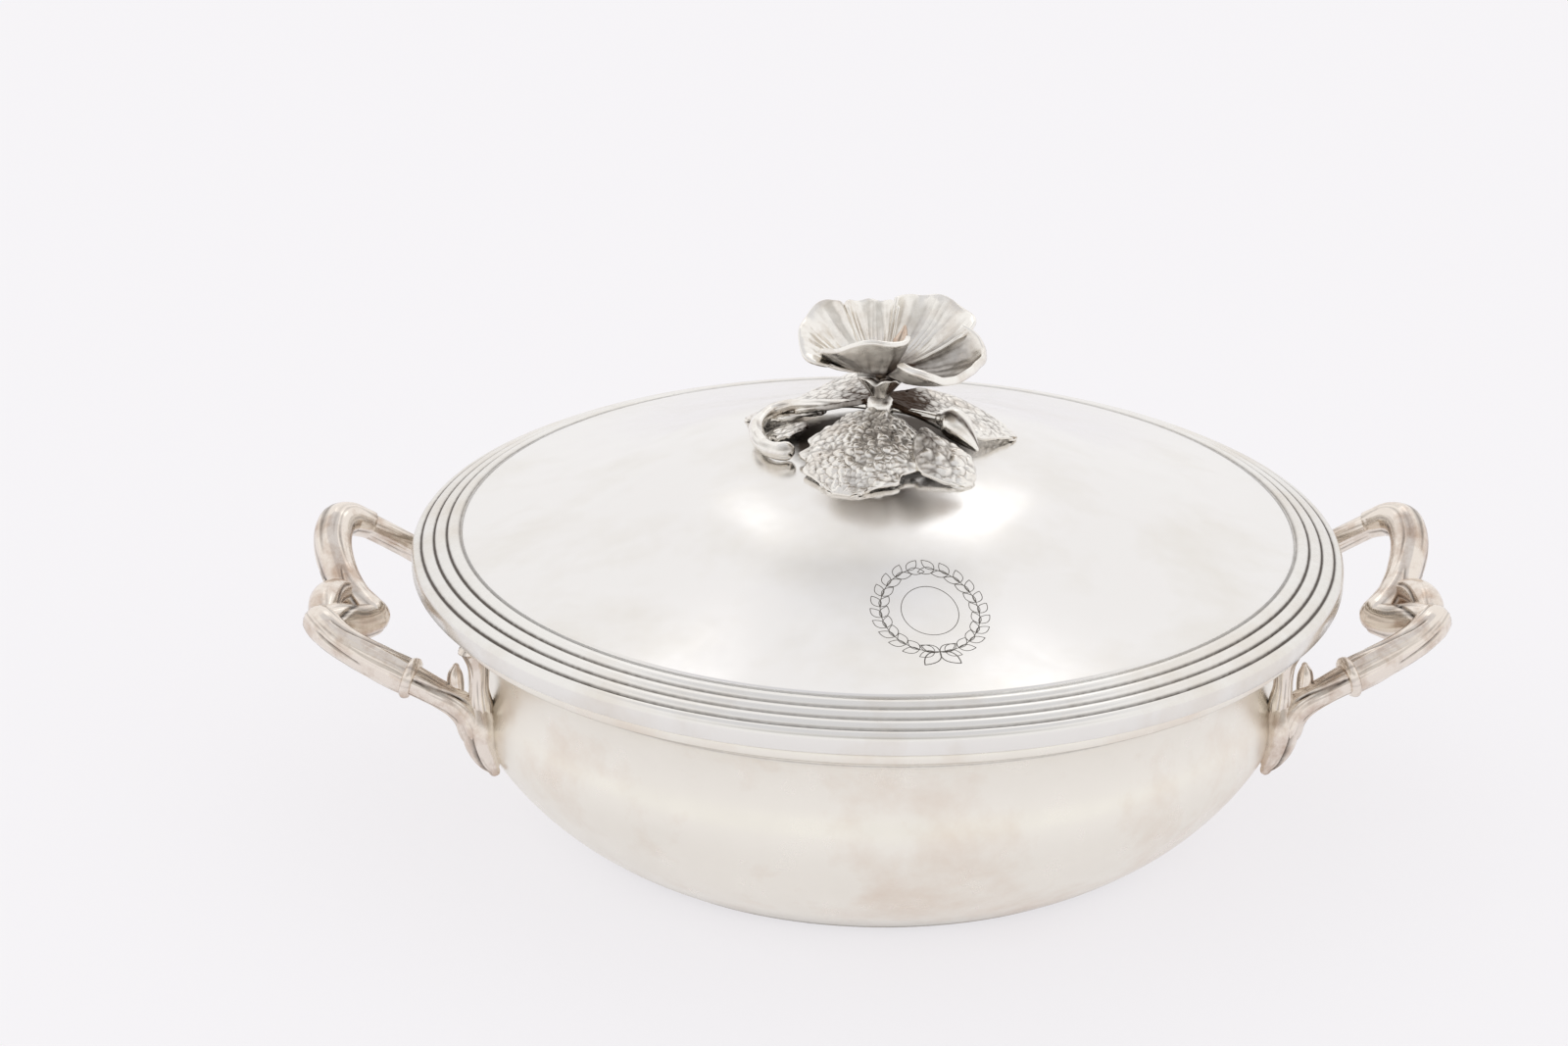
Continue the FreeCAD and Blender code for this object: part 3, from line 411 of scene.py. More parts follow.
def crown_height(radius, inward=0.0):
    """The height of the cover's crown at a radius in mm, moved inwards by a thickness."""
    if radius < CROWN_FLAT:
        return COVER_TOP - inward
    if radius < CROWN_RADIUS:
        return CROWN_MIDDLE + math.sqrt((CROWN_ARC - inward) ** 2 - (radius - CROWN_FLAT) ** 2)
    return FLARE_MIDDLE - math.sqrt((FLARE_ARC + inward) ** 2 - (FLARE_AXIS - radius) ** 2)


cover_silver = plated_silver(
    "spun_silver_plate_polished", clean="F0EEEC", stain="E2DDD3", dark="4A4037", patch_mm=45,
    patch_share=0.55, rough=(0.16, 0.25), bump=(2.4, 0.006),
)
steps = 90
crown_outside = []
for step in range(steps + 1):
    radius = SEAM_RADIUS - (SEAM_RADIUS - STUD_HOLE) * step / steps
    crown_outside.append((radius, crown_height(radius)))
crown_inside = [(radius, crown_height(radius, COVER_WALL)) for radius, level in reversed(crown_outside)]
crown_grime_and_shade = []
for index, (radius, level) in enumerate(crown_outside + crown_inside):
    seam = bell(radius - SEAM_RADIUS, 0.35) if index <= steps else 0.0
    # Painted shade: the crown is painted dark under the leaves and the flower, as shade with some tarnish
    # where polish can't reach.
    under_leaves_shade = 1.1 * min(1.0, max(0.0, (26 - radius) / 7)) if index <= steps else 0.0
    crown_grime_and_shade.append(max(0.15 * seam, under_leaves_shade))
crown = turned("cover_crown", crown_outside + crown_inside, cover_silver, segments=320, hollow=crown_grime_and_shade)
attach(crown, "cover")
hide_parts("cover_shell")

# Reeded border: a drawn strip of rounded reeds between four grooves, soldered round the crown.
# The backs are polished, and old polish and tarnish have stayed in the grooves.
BORDER_SLOPE, BORDER_WALL = math.radians(20.5), 1.8
REED_CROWN, EDGE_CROWN, EDGE_DROP, EDGE_GAP = 4.2, 3.4, 3.0, 0.7
GROOVE_CUT = 0.22


def border_height(radius):
    return SEAM_HEIGHT - (radius - SEAM_RADIUS) * math.tan(BORDER_SLOPE)


edge_bottom = BOWL_HEIGHT + EDGE_GAP
edge_inside = COVER_RADIUS - BORDER_WALL
border_outline = [(edge_inside, edge_bottom), (COVER_RADIUS - 0.2, edge_bottom)]
border_outline += [(COVER_RADIUS, edge_bottom + 0.2)]
border_depth = [0.0, 0.0, 0.0]
backs = [((COVER_RADIUS, edge_bottom + EDGE_DROP), GROOVE_RADIUS, EDGE_CROWN)]
for reed in range(REEDS):
    outer = GROOVE_RADIUS - REED_PITCH * reed
    backs.append(((outer, border_height(outer)), outer - REED_PITCH, REED_CROWN))
for start, inner, crown_arc in backs:
    back = arc_points(start, (inner, border_height(inner)), crown_arc * ROUND_SHARE, 12)
    for index, spot in enumerate(back):
        at_groove = index in (0, len(back) - 1) and spot[0] < COVER_RADIUS - 0.01
        drop = GROOVE_CUT if at_groove else 0.0
        border_outline.append((spot[0], spot[1] - drop))
        near = min(abs(spot[0] - groove) for groove in (start[0], inner) if groove < COVER_RADIUS)
        old_polish = 0.45 if spot[0] < FIRST_GROOVE + 0.6 else 0.9
        border_depth.append(old_polish * bell(near, 0.3))
border_outline += [(SEAM_RADIUS, SEAM_HEIGHT), (SEAM_RADIUS, SEAM_HEIGHT - BORDER_WALL)]
border_outline += [(edge_inside, border_height(edge_inside) - BORDER_WALL)]
border_depth += [0.1, 0.0, 0.0]
# A back begins where the one before it ends, and that point is kept once
unique = [at for at, spot in enumerate(border_outline) if at == 0 or spot != border_outline[at - 1]]
border = turned(
    "reeded_edge",
    [border_outline[index] for index in unique],
    plated_silver(
        "drawn_silver_plate_reeded", clean="EFEDE9", stain="DCD2C4", dark="6F6862", patch_mm=30,
        patch_share=0.6, rough=(0.17, 0.27), bump=(1.2, 0.01),
    ),
    segments=320,
    hollow=[border_depth[index] for index in unique],
)
# The border is darker left and right than in front and behind, in its grooves and over its whole width.
FRONT_GRIME, SIDE_GROOVE_DARKENING, SIDE_DARKENING = 0.62, 0.68, 0.17
for point, depth in zip(border.data.vertices, border.data.attributes["hollow"].data):
    beside = (point.co.x / (COVER_RADIUS * MM)) ** 2
    depth.value = depth.value * (FRONT_GRIME + SIDE_GROOVE_DARKENING * beside) + SIDE_DARKENING * beside
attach(border, "cover")
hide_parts("reeded_border")

# Engraving: a small laurel wreath round a blank oval, cut by hand into the front of the crown.
# The cuts are a quarter of a millimetre wide and have gone dark.
engraved = plated_silver(
    "engraved_cut_oxidised", clean="6B6660", stain="544E48", dark="2E2A27", patch_mm=3, patch_share=0.8,
    rough=(0.4, 0.5), bump=(0.5, 0.01),
)
WREATH_REACH, WREATH_TURN = 76.0, math.radians(-83.5)
WREATH_WIDTH, WREATH_HEIGHT, LAUREL_LENGTH, LAUREL_WIDTH = 12.0, 14.5, 4.2, 2.3
CUT_RADIUS, CUT_DEPTH, LEAF_TURN, LAUREL_PAIRS = 0.13, 0.06, math.radians(30), 11
wreath, given = geometry_tree("wreath", {
    "Width": "Float", "Height": "Float", "Pairs": "Int", "Leaf Length": "Float",
    "Leaf Width": "Float", "Leaf Turn": "Float", "Cut": "Float", "Finish": "Material",
})
cut = node(wreath, "GeometryNodeCurvePrimitiveCircle", {"Resolution": 5, "Radius": given["Cut"]})
tip = node(wreath, "ShaderNodeCombineXYZ", {"X": given["Leaf Length"]})
belly_at = node(wreath, "ShaderNodeMath", {0: given["Leaf Length"], 1: 0.4}, operation="MULTIPLY")
edges = []
for side in (1, -1):
    bulge = node(wreath, "ShaderNodeMath", {0: given["Leaf Width"], 1: side}, operation="MULTIPLY")
    middle = node(wreath, "ShaderNodeCombineXYZ", {"X": belly_at, "Y": bulge})
    edges.append(node(wreath, "GeometryNodeCurveQuadraticBezier", {
        "Resolution": 7, "Middle": middle, "End": tip, "Start": (0, 0, 0)
    }))
leaf_lines = node(wreath, "GeometryNodeJoinGeometry", {0: edges})
leaf_cut = node(wreath, "GeometryNodeCurveToMesh", {
    "Curve": leaf_lines, "Profile Curve": cut, "Fill Caps": True
})
half_arc = node(wreath, "GeometryNodeCurveArc", {
    "Resolution": 40, "Radius": 1.0, "Start Angle": math.radians(-84), "Sweep Angle": math.radians(158)
})
shape = node(wreath, "ShaderNodeCombineXYZ", {"X": given["Width"], "Y": given["Height"], "Z": 1.0})
branch = node(wreath, "GeometryNodeTransform", {"Geometry": half_arc, "Scale": shape})
spots = node(wreath, "GeometryNodeCurveToPoints", {
    "Curve": branch, "Count": given["Pairs"]
}, mode="COUNT")
heading = node(wreath, "ShaderNodeSeparateXYZ", {"Vector": spots.outputs["Tangent"]}).outputs
bearing = node(wreath, "ShaderNodeMath", {0: heading["Y"], 1: heading["X"]}, operation="ARCTAN2")
half_parts = []
for side in (1, -1):
    leaf_angle = node(wreath, "ShaderNodeMath", {
        0: given["Leaf Turn"], 1: side, 2: bearing
    }, operation="MULTIPLY_ADD")
    leaf_turn = node(wreath, "ShaderNodeCombineXYZ", {"Z": leaf_angle})
    half_parts.append(node(wreath, "GeometryNodeInstanceOnPoints", {
        "Points": spots, "Instance": leaf_cut, "Rotation": leaf_turn
    }))
half_parts.append(node(wreath, "GeometryNodeCurveToMesh", {
    "Curve": branch, "Profile Curve": cut, "Fill Caps": True
}))
low_end = node(wreath, "ShaderNodeMath", {0: given["Height"], 1: -1.0}, operation="MULTIPLY")
low_spot = node(wreath, "ShaderNodeCombineXYZ", {"Y": low_end})
for ribbon_turn, ribbon_size in ((0.55, 1.15), (-0.8, 1.5)):
    half_parts.append(node(wreath, "GeometryNodeTransform", {
        "Geometry": leaf_cut, "Translation": low_spot, "Rotation": (0, 0, ribbon_turn),
        "Scale": (ribbon_size, ribbon_size, 1.0),
    }))
half_wreath = node(wreath, "GeometryNodeJoinGeometry", {0: half_parts})
plain_half = node(wreath, "GeometryNodeRealizeInstances", {"Geometry": half_wreath})
other_half = node(wreath, "GeometryNodeTransform", {"Geometry": plain_half, "Scale": (-1.0, 1.0, 1.0)})
turned_out = node(wreath, "GeometryNodeFlipFaces", {"Mesh": other_half})
oval = node(wreath, "GeometryNodeCurvePrimitiveCircle", {"Resolution": 64, "Radius": 0.58})
oval_line = node(wreath, "GeometryNodeTransform", {"Geometry": oval, "Scale": shape})
oval_cut = node(wreath, "GeometryNodeCurveToMesh", {"Curve": oval_line, "Profile Curve": cut})
whole = node(wreath, "GeometryNodeJoinGeometry", {0: [plain_half, turned_out, oval_cut]})
painted = node(wreath, "GeometryNodeSetMaterial", {"Geometry": whole, "Material": given["Finish"]})
node(wreath, "NodeGroupOutput", {"Geometry": painted})
laurels = bpy.data.objects.new("engraved_wreath", bpy.data.meshes.new("engraved_wreath"))
bpy.context.collection.objects.link(laurels)
apply_tree(laurels, wreath, **{
    "Width": WREATH_WIDTH, "Height": WREATH_HEIGHT, "Pairs": LAUREL_PAIRS, "Leaf Length": LAUREL_LENGTH,
    "Leaf Width": LAUREL_WIDTH, "Leaf Turn": LEAF_TURN, "Cut": CUT_RADIUS, "Finish": engraved,
})
outward_way = Vector((math.cos(WREATH_TURN), math.sin(WREATH_TURN)))
sideways = Vector((-outward_way.y, outward_way.x))
for point in laurels.data.vertices:
    flat = outward_way * (WREATH_REACH - point.co.y) + sideways * point.co.x
    level = crown_height(flat.length) + point.co.z - CUT_DEPTH
    point.co = Vector((flat.x, flat.y, level)) * MM
laurels.data.update()
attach(laurels, "cover")

# Seat ring: a plain turned ring under the border, whose spigot drops into the bowl's mouth.
# It is hidden while the cover is on, and its plate is duller than the outside.
seat_silver = plated_silver(
    "turned_silver_plate_dull", clean="DEDAD2", stain="BFAF9C", dark="5A5048", patch_mm=18, patch_share=0.5,
    rough=(0.26, 0.4), bump=(0.8, 0.01),
)
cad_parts["cover_seat"].material_slots[0].material = seat_silver

# Fixing of the finial: a cut thread on its stud, a plain washer and a cast wing nut of brass.
# They are inside the cover; the brass is unplated and has gone a dull brown yellow.
brass = plated_silver(
    "unplated_brass_dull", clean="C2A368", stain="94753F", dark="4A3A22", patch_mm=6, patch_share=0.8,
    rough=(0.3, 0.45), bump=(0.6, 0.012),
)
for name in ("finial_washer", "wing_nut"):
    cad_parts[name].material_slots[0].material = brass

STUD_CORE, STUD_LENGTH, THREAD_PITCH, THREAD_HALF = 2.3, 13.0, 0.8, 0.2
thread, given = geometry_tree("thread", {
    "Core": "Float", "Length": "Float", "Turns": "Float", "Ridge": "Float", "Finish": "Material"
})
winding = node(thread, "GeometryNodeCurveSpiral", {
    "Resolution": 28, "Rotations": given["Turns"], "Start Radius": given["Core"],
    "End Radius": given["Core"], "Height": given["Length"],
})
ridge = node(thread, "GeometryNodeCurvePrimitiveCircle", {"Resolution": 6, "Radius": given["Ridge"]})
wire = node(thread, "GeometryNodeCurveToMesh", {
    "Curve": winding, "Profile Curve": ridge, "Fill Caps": True
})
core = node(thread, "GeometryNodeMeshCylinder", {
    "Vertices": 40, "Radius": given["Core"], "Depth": given["Length"]
})
half_up = node(thread, "ShaderNodeMath", {0: given["Length"], 1: 0.5}, operation="MULTIPLY")
lift = node(thread, "ShaderNodeCombineXYZ", {"Z": half_up})
raised = node(thread, "GeometryNodeTransform", {"Geometry": core, "Translation": lift})
both = node(thread, "GeometryNodeJoinGeometry", {0: [raised, wire]})
painted = node(thread, "GeometryNodeSetMaterial", {"Geometry": both, "Material": given["Finish"]})
node(thread, "NodeGroupOutput", {"Geometry": painted})
stud = bpy.data.objects.new("threaded_stud", bpy.data.meshes.new("threaded_stud"))
bpy.context.collection.objects.link(stud)
thread_length = STUD_LENGTH - 0.4
apply_tree(
    stud, thread, Core=STUD_CORE * MM, Length=thread_length * MM, Turns=thread_length / THREAD_PITCH,
    Ridge=THREAD_HALF * MM, Finish=brass,
)
stud.data.transform(Matrix.Translation((0, 0, (COVER_TOP - STUD_LENGTH + 0.1) * MM)))
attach(stud, "cover")
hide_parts("finial_stud")

# Finial stem and calyx: cast in one with a spread foot, a knuckle and five short sepals.
# The cast silver keeps a soft bright skin, with dark oxide down in every hollow.
cast_silver = plated_silver(
    "cast_silver_plate_oxidised", clean="F6F3ED", stain="D3C8BC", dark="4A3A2F", patch_mm=8,
    patch_share=0.7, rough=(0.15, 0.28), bump=(0.7, 0.05),
)
STEM_RADIUS, STEM_FOOT, STEM_HEIGHT = 2.35, 8.0, 12.6
CALYX_HEIGHT, CALYX_RADIUS = 6.3, 6.6
STEM_TOP = COVER_TOP + STEM_HEIGHT
CALYX_TOP = STEM_TOP + CALYX_HEIGHT
stem_outline = [(0, 0), (STEM_FOOT, 0), (STEM_FOOT - 0.3, 0.7), (6.2, 1.2), (4.2, 1.9), (3.0, 3.2)]
stem_outline += [(STEM_RADIUS, 5.2), (2.5, 6.8), (3.2, 7.8), (3.7, 8.9), (3.85, 10.0), (3.6, 11.0)]
stem_outline += [(3.0, 11.8), (2.5, 12.2), (STEM_RADIUS, STEM_HEIGHT), (0, STEM_HEIGHT)]
stem_grime = [0, 0.6, 0.5, 0.3, 0.3, 0.6, 0.8, 0.5, 0.1, 0.0, 0.0, 0.0, 0.2, 0.6, 0.6, 0.5]
stem = turned(
    "flower_stem", [(radius, COVER_TOP + level) for radius, level in stem_outline], cast_silver,
    segments=64, hollow=stem_grime,
)
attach(stem, "cover")
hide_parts("finial_stem")

SEPALS = 5
calyx_points, calyx_faces, calyx_grime = [], [], []
around, rows = 100, 14
for row in range(rows + 1):
    climb = row / rows
    for step in range(around):
        angle = 2 * math.pi * step / around
        lobe = 0.5 + 0.5 * math.cos(SEPALS * angle)
        flare = climb ** 1.15
        ridge_line = 0.22 * bell(1 - lobe, 0.05)
        radius = STEM_RADIUS + (CALYX_RADIUS - STEM_RADIUS) * flare * (0.86 + 0.16 * lobe) + ridge_line
        level = STEM_TOP + (CALYX_HEIGHT - 1.6 * (1 - lobe) ** 2) * climb
        calyx_points.append((radius * math.cos(angle), radius * math.sin(angle), level))
        calyx_grime.append(0.45 * (1 - lobe) ** 3 + 0.15 * (1 - climb))
for row in range(rows):
    for step in range(around):
        here, right = row * around + step, row * around + (step + 1) % around
        calyx_faces.append((here, right, right + around, here + around))
top = len(calyx_points)
calyx_points += [(0, 0, CALYX_TOP - 1.4), (0, 0, STEM_TOP)]
calyx_grime += [0.9, 0.5]
for step in range(around):
    here, right = rows * around + step, rows * around + (step + 1) % around
    calyx_faces.append((here, right, top))
    calyx_faces.append(((step + 1) % around, step, top + 1))
sepals = new_piece("sepals", calyx_points, calyx_faces, cast_silver, calyx_grime)
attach(sepals, "cover")
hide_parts("calyx")


# Pistil and buds, tendrils and stalks: cast as round tapering stems.
# A stem is a ring swept along a smooth line; its relief says where the skin rises or sinks.
def smooth_path(places, step):
    """Spots (x, y, z, radius) along a smooth curve through the places, a step in mm apart."""
    spots = [Vector(place) for place in places]
    spots = [spots[0] * 2 - spots[1]] + spots + [spots[-1] * 2 - spots[-2]]
    path = []
    for index in range(1, len(spots) - 2):
        before, here, there, after = spots[index - 1:index + 3]
        count = max(2, round((there - here).xyz.length / step))
        for part in range(count):
            u = part / count
            path.append(
                here
                + (there - before) * (u / 2)
                + (before * 2 - here * 5 + there * 4 - after) * (u * u / 2)
                + (here * 3 - before - there * 3 + after) * (u ** 3 / 2)
            )
    path.append(spots[-2])
    return path


def swept(
    name, places, material, relief, around, step, ends=(1.0, 1.0), side=1, outside_of=None, facing=None
):
    """A closed round stem; ends say how far each rounded end stands out, as a share of its radius.

    Angles round the stem start at the side that faces the given way.
    """
    path = smooth_path(places, step)
    spots = [place.xyz for place in path]
    directions = [
        (spots[min(index + 1, len(spots) - 1)] - spots[max(index - 1, 0)]).normalized()
        for index in range(len(spots))
    ]
    rings = [(spots[0] - directions[0] * path[0].w * ends[0] * math.sin(turn), directions[0],
              path[0].w * math.cos(turn), 0) for turn in (1.3, 1.0, 0.7, 0.35)]
    rings += [(spots[index], directions[index], path[index].w, index) for index in range(len(spots))]
    last = len(spots) - 1
    rings += [(spots[-1] + directions[-1] * path[-1].w * ends[1] * math.sin(turn), directions[-1],
               path[-1].w * math.cos(turn), last) for turn in (0.35, 0.7, 1.0, 1.3)]
    aside = facing.copy() if facing else directions[0].orthogonal().normalized()
    points, depths, faces = [], [], []
    for spot, heading, radius, index in rings:
        aside = (aside - heading * aside.dot(heading)).normalized()
        across = heading.cross(aside)
        for corner in range(around):
            angle = 2 * math.pi * corner / around
            rise, depth = relief(index * step, angle, index / last)
            out = aside * math.cos(angle) + across * math.sin(angle)
            points.append(spot + out * (radius + rise))
            depths.append(min(1.0, max(0.0, depth)))
    for index in range(len(rings) - 1):
        for corner in range(around):
            here, right = index * around + corner, index * around + (corner + 1) % around
            faces.append((here, right, right + around, here + around))
    first, final = len(points), len(points) + 1
    points.append(spots[0] - directions[0] * path[0].w * ends[0])
    points.append(spots[-1] + directions[-1] * path[-1].w * ends[1])
    depths += [0.0, 0.0]
    ring_end = (len(rings) - 1) * around
    for corner in range(around):
        faces.append(((corner + 1) % around, corner, first))
        faces.append((ring_end + corner, ring_end + (corner + 1) % around, final))
    if outside_of:
        for point in points:
            limit = outside_of(point.z)
            reach = math.hypot(point.x, point.y)
            if reach < limit:
                point.x, point.y = point.x * limit / reach, point.y * limit / reach
    if side < 0:
        points = [Vector((-point.x, point.y, point.z)) for point in points]
        faces = [tuple(reversed(face)) for face in faces]
    return new_piece(name, points, faces, material, depths)


def wrinkles(seed, lines, height, grime=1.0, along=0.12):
    """Relief of fine ridges that run along a stem."""
    def relief(length, angle, share):
        spot = Vector((math.cos(angle) * lines, math.sin(angle) * lines, length * along + seed * 7.3))
        value = noise.noise(spot) + 0.5 * noise.noise(spot * 2.1)
        return height * value, grime * max(0.0, -value)
    return relief


PISTIL_LEAN, PISTIL_HEIGHT = 6.0, 13.0
pistil_places = [
    (PISTIL_LEAN * lean, 0, CALYX_TOP + PISTIL_HEIGHT * rise, 2.0 * thick)
    for lean, rise, thick in (
        (0, 0.02, 0.9), (0, 0.12, 0.95), (0.18, 0.27, 0.8), (0.52, 0.46, 0.62),
        (0.78, 0.63, 0.95), (0.9, 0.8, 0.62), (0.97, 0.96, 0.2),
    )
]
pistil_silver = plated_silver(
    "cast_silver_plate_warm", clean="E6D6C6", stain="C4A08A", dark="4A3A2E", patch_mm=2.5, patch_share=0.8,
    rough=(0.3, 0.45), bump=(0.6, 0.04),
)
spike = swept("flower_pistil", pistil_places, pistil_silver, wrinkles(1, 2.2, 0.12), around=24, step=0.5)
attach(spike, "cover")
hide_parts("pistil")

LEAF_REACH, LEAF_RISE, TENDRIL_RADIUS = 36.0, 8.5, 1.5


def finial_places(shares):
    """Places from shares of the leaves' reach and rise and of the tendrils' radius."""
    return [
        (x * LEAF_REACH, y * LEAF_REACH, COVER_TOP + z * LEAF_RISE, r * TENDRIL_RADIUS)
        for x, y, z, r in shares
    ]


def bud_folds(length, angle, share):
    """Relief of a folded bud: three broad folds that twist round it."""
    fold = math.sin(3 * angle + share * 2.4)
    crease = max(0.0, -fold) ** 3
    return 0.28 * fold * math.sin(math.pi * min(1, share * 1.1)), 0.9 * crease


small_stems = {
    "curl_tendril": (
        [
            (-0.05, 0.0, 1.12, 0.6), (-0.14, 0.06, 1.09, 0.65), (-0.24, 0.125, 1.03, 0.75),
            (-0.36, 0.19, 0.90, 0.85), (-0.49, 0.29, 0.72, 0.95), (-0.63, 0.40, 0.52, 1.05),
            (-0.77, 0.38, 0.34, 1.2), (-0.865, 0.18, 0.24, 1.35), (-0.86, -0.07, 0.20, 1.4),
            (-0.80, -0.23, 0.18, 1.35), (-0.73, -0.30, 0.20, 1.5), (-0.68, -0.31, 0.21, 1.6),
        ],
        wrinkles(2, 1.6, 0.22, 0.8),
    ),
    "right_bud": (
        [
            (0.43, -0.13, 0.95, 1.3), (0.48, -0.155, 0.92, 2.45), (0.545, -0.20, 0.74, 2.5),
            (0.61, -0.255, 0.50, 1.6), (0.665, -0.30, 0.28, 0.6),
        ],
        bud_folds,
    ),
    "bud_stalk": (
        [
            (0.045, -0.01, 1.10, 0.55), (0.15, -0.045, 1.08, 0.6), (0.29, -0.085, 1.03, 0.6),
            (0.44, -0.135, 0.95, 0.7),
        ],
        wrinkles(3, 1.4, 0.1),
    ),
    "leaf_stalk": (
        [
            (0.04, -0.04, 0.95, 0.6), (0.10, -0.11, 0.90, 0.6), (0.16, -0.205, 0.80, 0.65),
            (0.22, -0.31, 0.67, 0.7),
        ],
        wrinkles(4, 1.4, 0.1),
    ),
}
for name, (shares, relief) in small_stems.items():
    piece = swept(name + "_cast", finial_places(shares), cast_silver, relief, around=28, step=0.5)
    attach(piece, "cover")
    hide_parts(name)

# Petals: five cast sheets that open from the calyx, wavy at the rim and veined like fans.
# Each has its own reach, and its rim is rolled over, so it looks thicker there.
# Rows hold angles in degrees, shares of the flower's reach and rise, and bends in mm.
PETAL_HUB, PETAL_WALL, FLOWER_REACH, FLOWER_RISE = 2.6, 0.9, 27.0, 15.0
PETAL_FORM = ("middle", "half", "reach", "lean", "rim", "bow", "waves", "roll", "lip", "painted_shade")
PETALS = {
    "petal_left": (168, 38, 0.79, 0.0, (1.0, 0.72, 0.22), 0.9, (2.2, 0.8, 0.6), -1.2, 0.5, 0.06),
    "petal_back": (100, 32, 0.60, 0.0, (0.90, 0.90, 0.96), 1.2, (3.0, 1.9, 0.3), -0.5, 0.2, 0.1),
    "petal_right_back": (38, 33, 0.88, -0.16, (0.66, 0.95, 1.0), 1.2, (2.3, 0.4, 0.5), -0.9, 0.3, 0.2),
    "petal_right_front": (-32, 44, 0.94, 0.1, (0.45, 0.22, 0.62), 1.4, (2.2, 0.4, 0.6), 0.8, 1.7, 0.5),
    "petal_front": (-118, 57, 0.64, -0.06, (0.22, 0.78, 0.80), 0.0, (2.0, 0.2, 0.5), 0.6, 0.8, 0.4),
}


def sheet(name, point_at, relief_at, wall, along, across, material, lip=0.0):
    """A thin closed sheet round the surface point_at(t, s), with relief and a thicker rim."""
    points, depths, faces, walls = [], [], [], []
    nudge = 0.001
    for i in range(along + 1):
        t = i / along
        for j in range(across + 1):
            s = 2 * j / across - 1
            here = point_at(t, s)
            normal = (point_at(t + nudge, s) - point_at(t - nudge, s)).cross(
                point_at(t, s + nudge) - point_at(t, s - nudge)
            ).normalized()
            if normal.z < 0:
                normal.negate()
            rise, depth = relief_at(t, s, here)
            points.append(here + normal * (rise - wall / 2))
            depths.append(min(1.0, max(0.0, depth)))
            walls.append((1 + lip * max(0.0, (t - 0.88) / 0.12)) / (1 + lip))
    row = across + 1
    for i in range(along):
        for j in range(across):
            here = i * row + j
            faces.append((here, here + row, here + row + 1, here + 1))
    piece = new_piece(name, points, faces, material, depths)
    thickness = piece.vertex_groups.new(name="wall")
    for index, share in enumerate(walls):
        thickness.add([index], share, "REPLACE")
    wall_maker = piece.modifiers.new("wall", "SOLIDIFY")
    wall_maker.thickness = wall * (1 + lip) * MM
    wall_maker.offset = 0
    wall_maker.vertex_group = "wall"
    rounding = piece.modifiers.new("rounding", "SUBSURF")
    rounding.levels = rounding.render_levels = 1
    return settle(piece)


def petal_surface(petal):
    right, centre, left = petal["rim"]
    count, phase, height = petal["waves"]
    reach = FLOWER_REACH * petal["reach"]

    def point_at(t, s):
        angle = math.radians(petal["middle"] + petal["half"] * s * (0.8 + 0.2 * min(1, 2.5 * abs(t))))
        round_off = 1 + petal["lean"] * s - 0.05 * s * s - 0.22 * s ** 6
        out = PETAL_HUB + (reach * round_off - PETAL_HUB) * t
        rim = centre + (left - right) / 2 * s + ((left + right) / 2 - centre) * s * s
        up = FLOWER_RISE * rim * max(t, 0) ** 1.45
        wave = height * math.sin(count * math.pi * s + phase) * max(t, 0) ** 4
        curl = petal["roll"] * max(0.0, (t - 0.84) / 0.16) ** 2
        belly = -petal["bow"] * (1 - s * s) * math.sin(math.pi * min(1, max(t, 0))) ** 1.5
        level = CALYX_TOP + PETAL_WALL + 0.3 + up + wave + curl + belly
        return Vector((out * math.cos(angle), out * math.sin(angle), level))

    def relief_at(t, s, here):
        wander = 1.6 * noise.noise(Vector((s * 2.4, t * 1.6, petal["middle"])))
        vein = math.sin((s * 9 + wander) * math.pi) + 0.35 * math.sin((s * 23 + 2 * wander) * math.pi)
        strength = min(1, t * 3) * max(0.0, 1 - t ** 4) * (0.55 + 0.6 * noise.noise(here * 0.21))
        dent = 0.5 * noise.noise(here * 0.13) + 0.2 * noise.noise(here * 0.4)
        grime = 0.3 * max(0.0, -vein) * strength + 0.8 * max(0.0, 1 - t * 2.4)
        # Painted shade darkens the petal by its own amount everywhere but at the rim.
        return 0.105 * vein * strength + dent * t, grime + petal["painted_shade"] * max(0.0, 1 - t ** 6)

    return point_at, relief_at


for name, form in PETALS.items():
    petal = dict(zip(PETAL_FORM, form))
    point_at, relief_at = petal_surface(petal)
    piece = sheet(name + "_cast", point_at, relief_at, PETAL_WALL, 36, 64, cast_silver, petal["lip"])
    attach(piece, "cover")
    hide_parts(name)

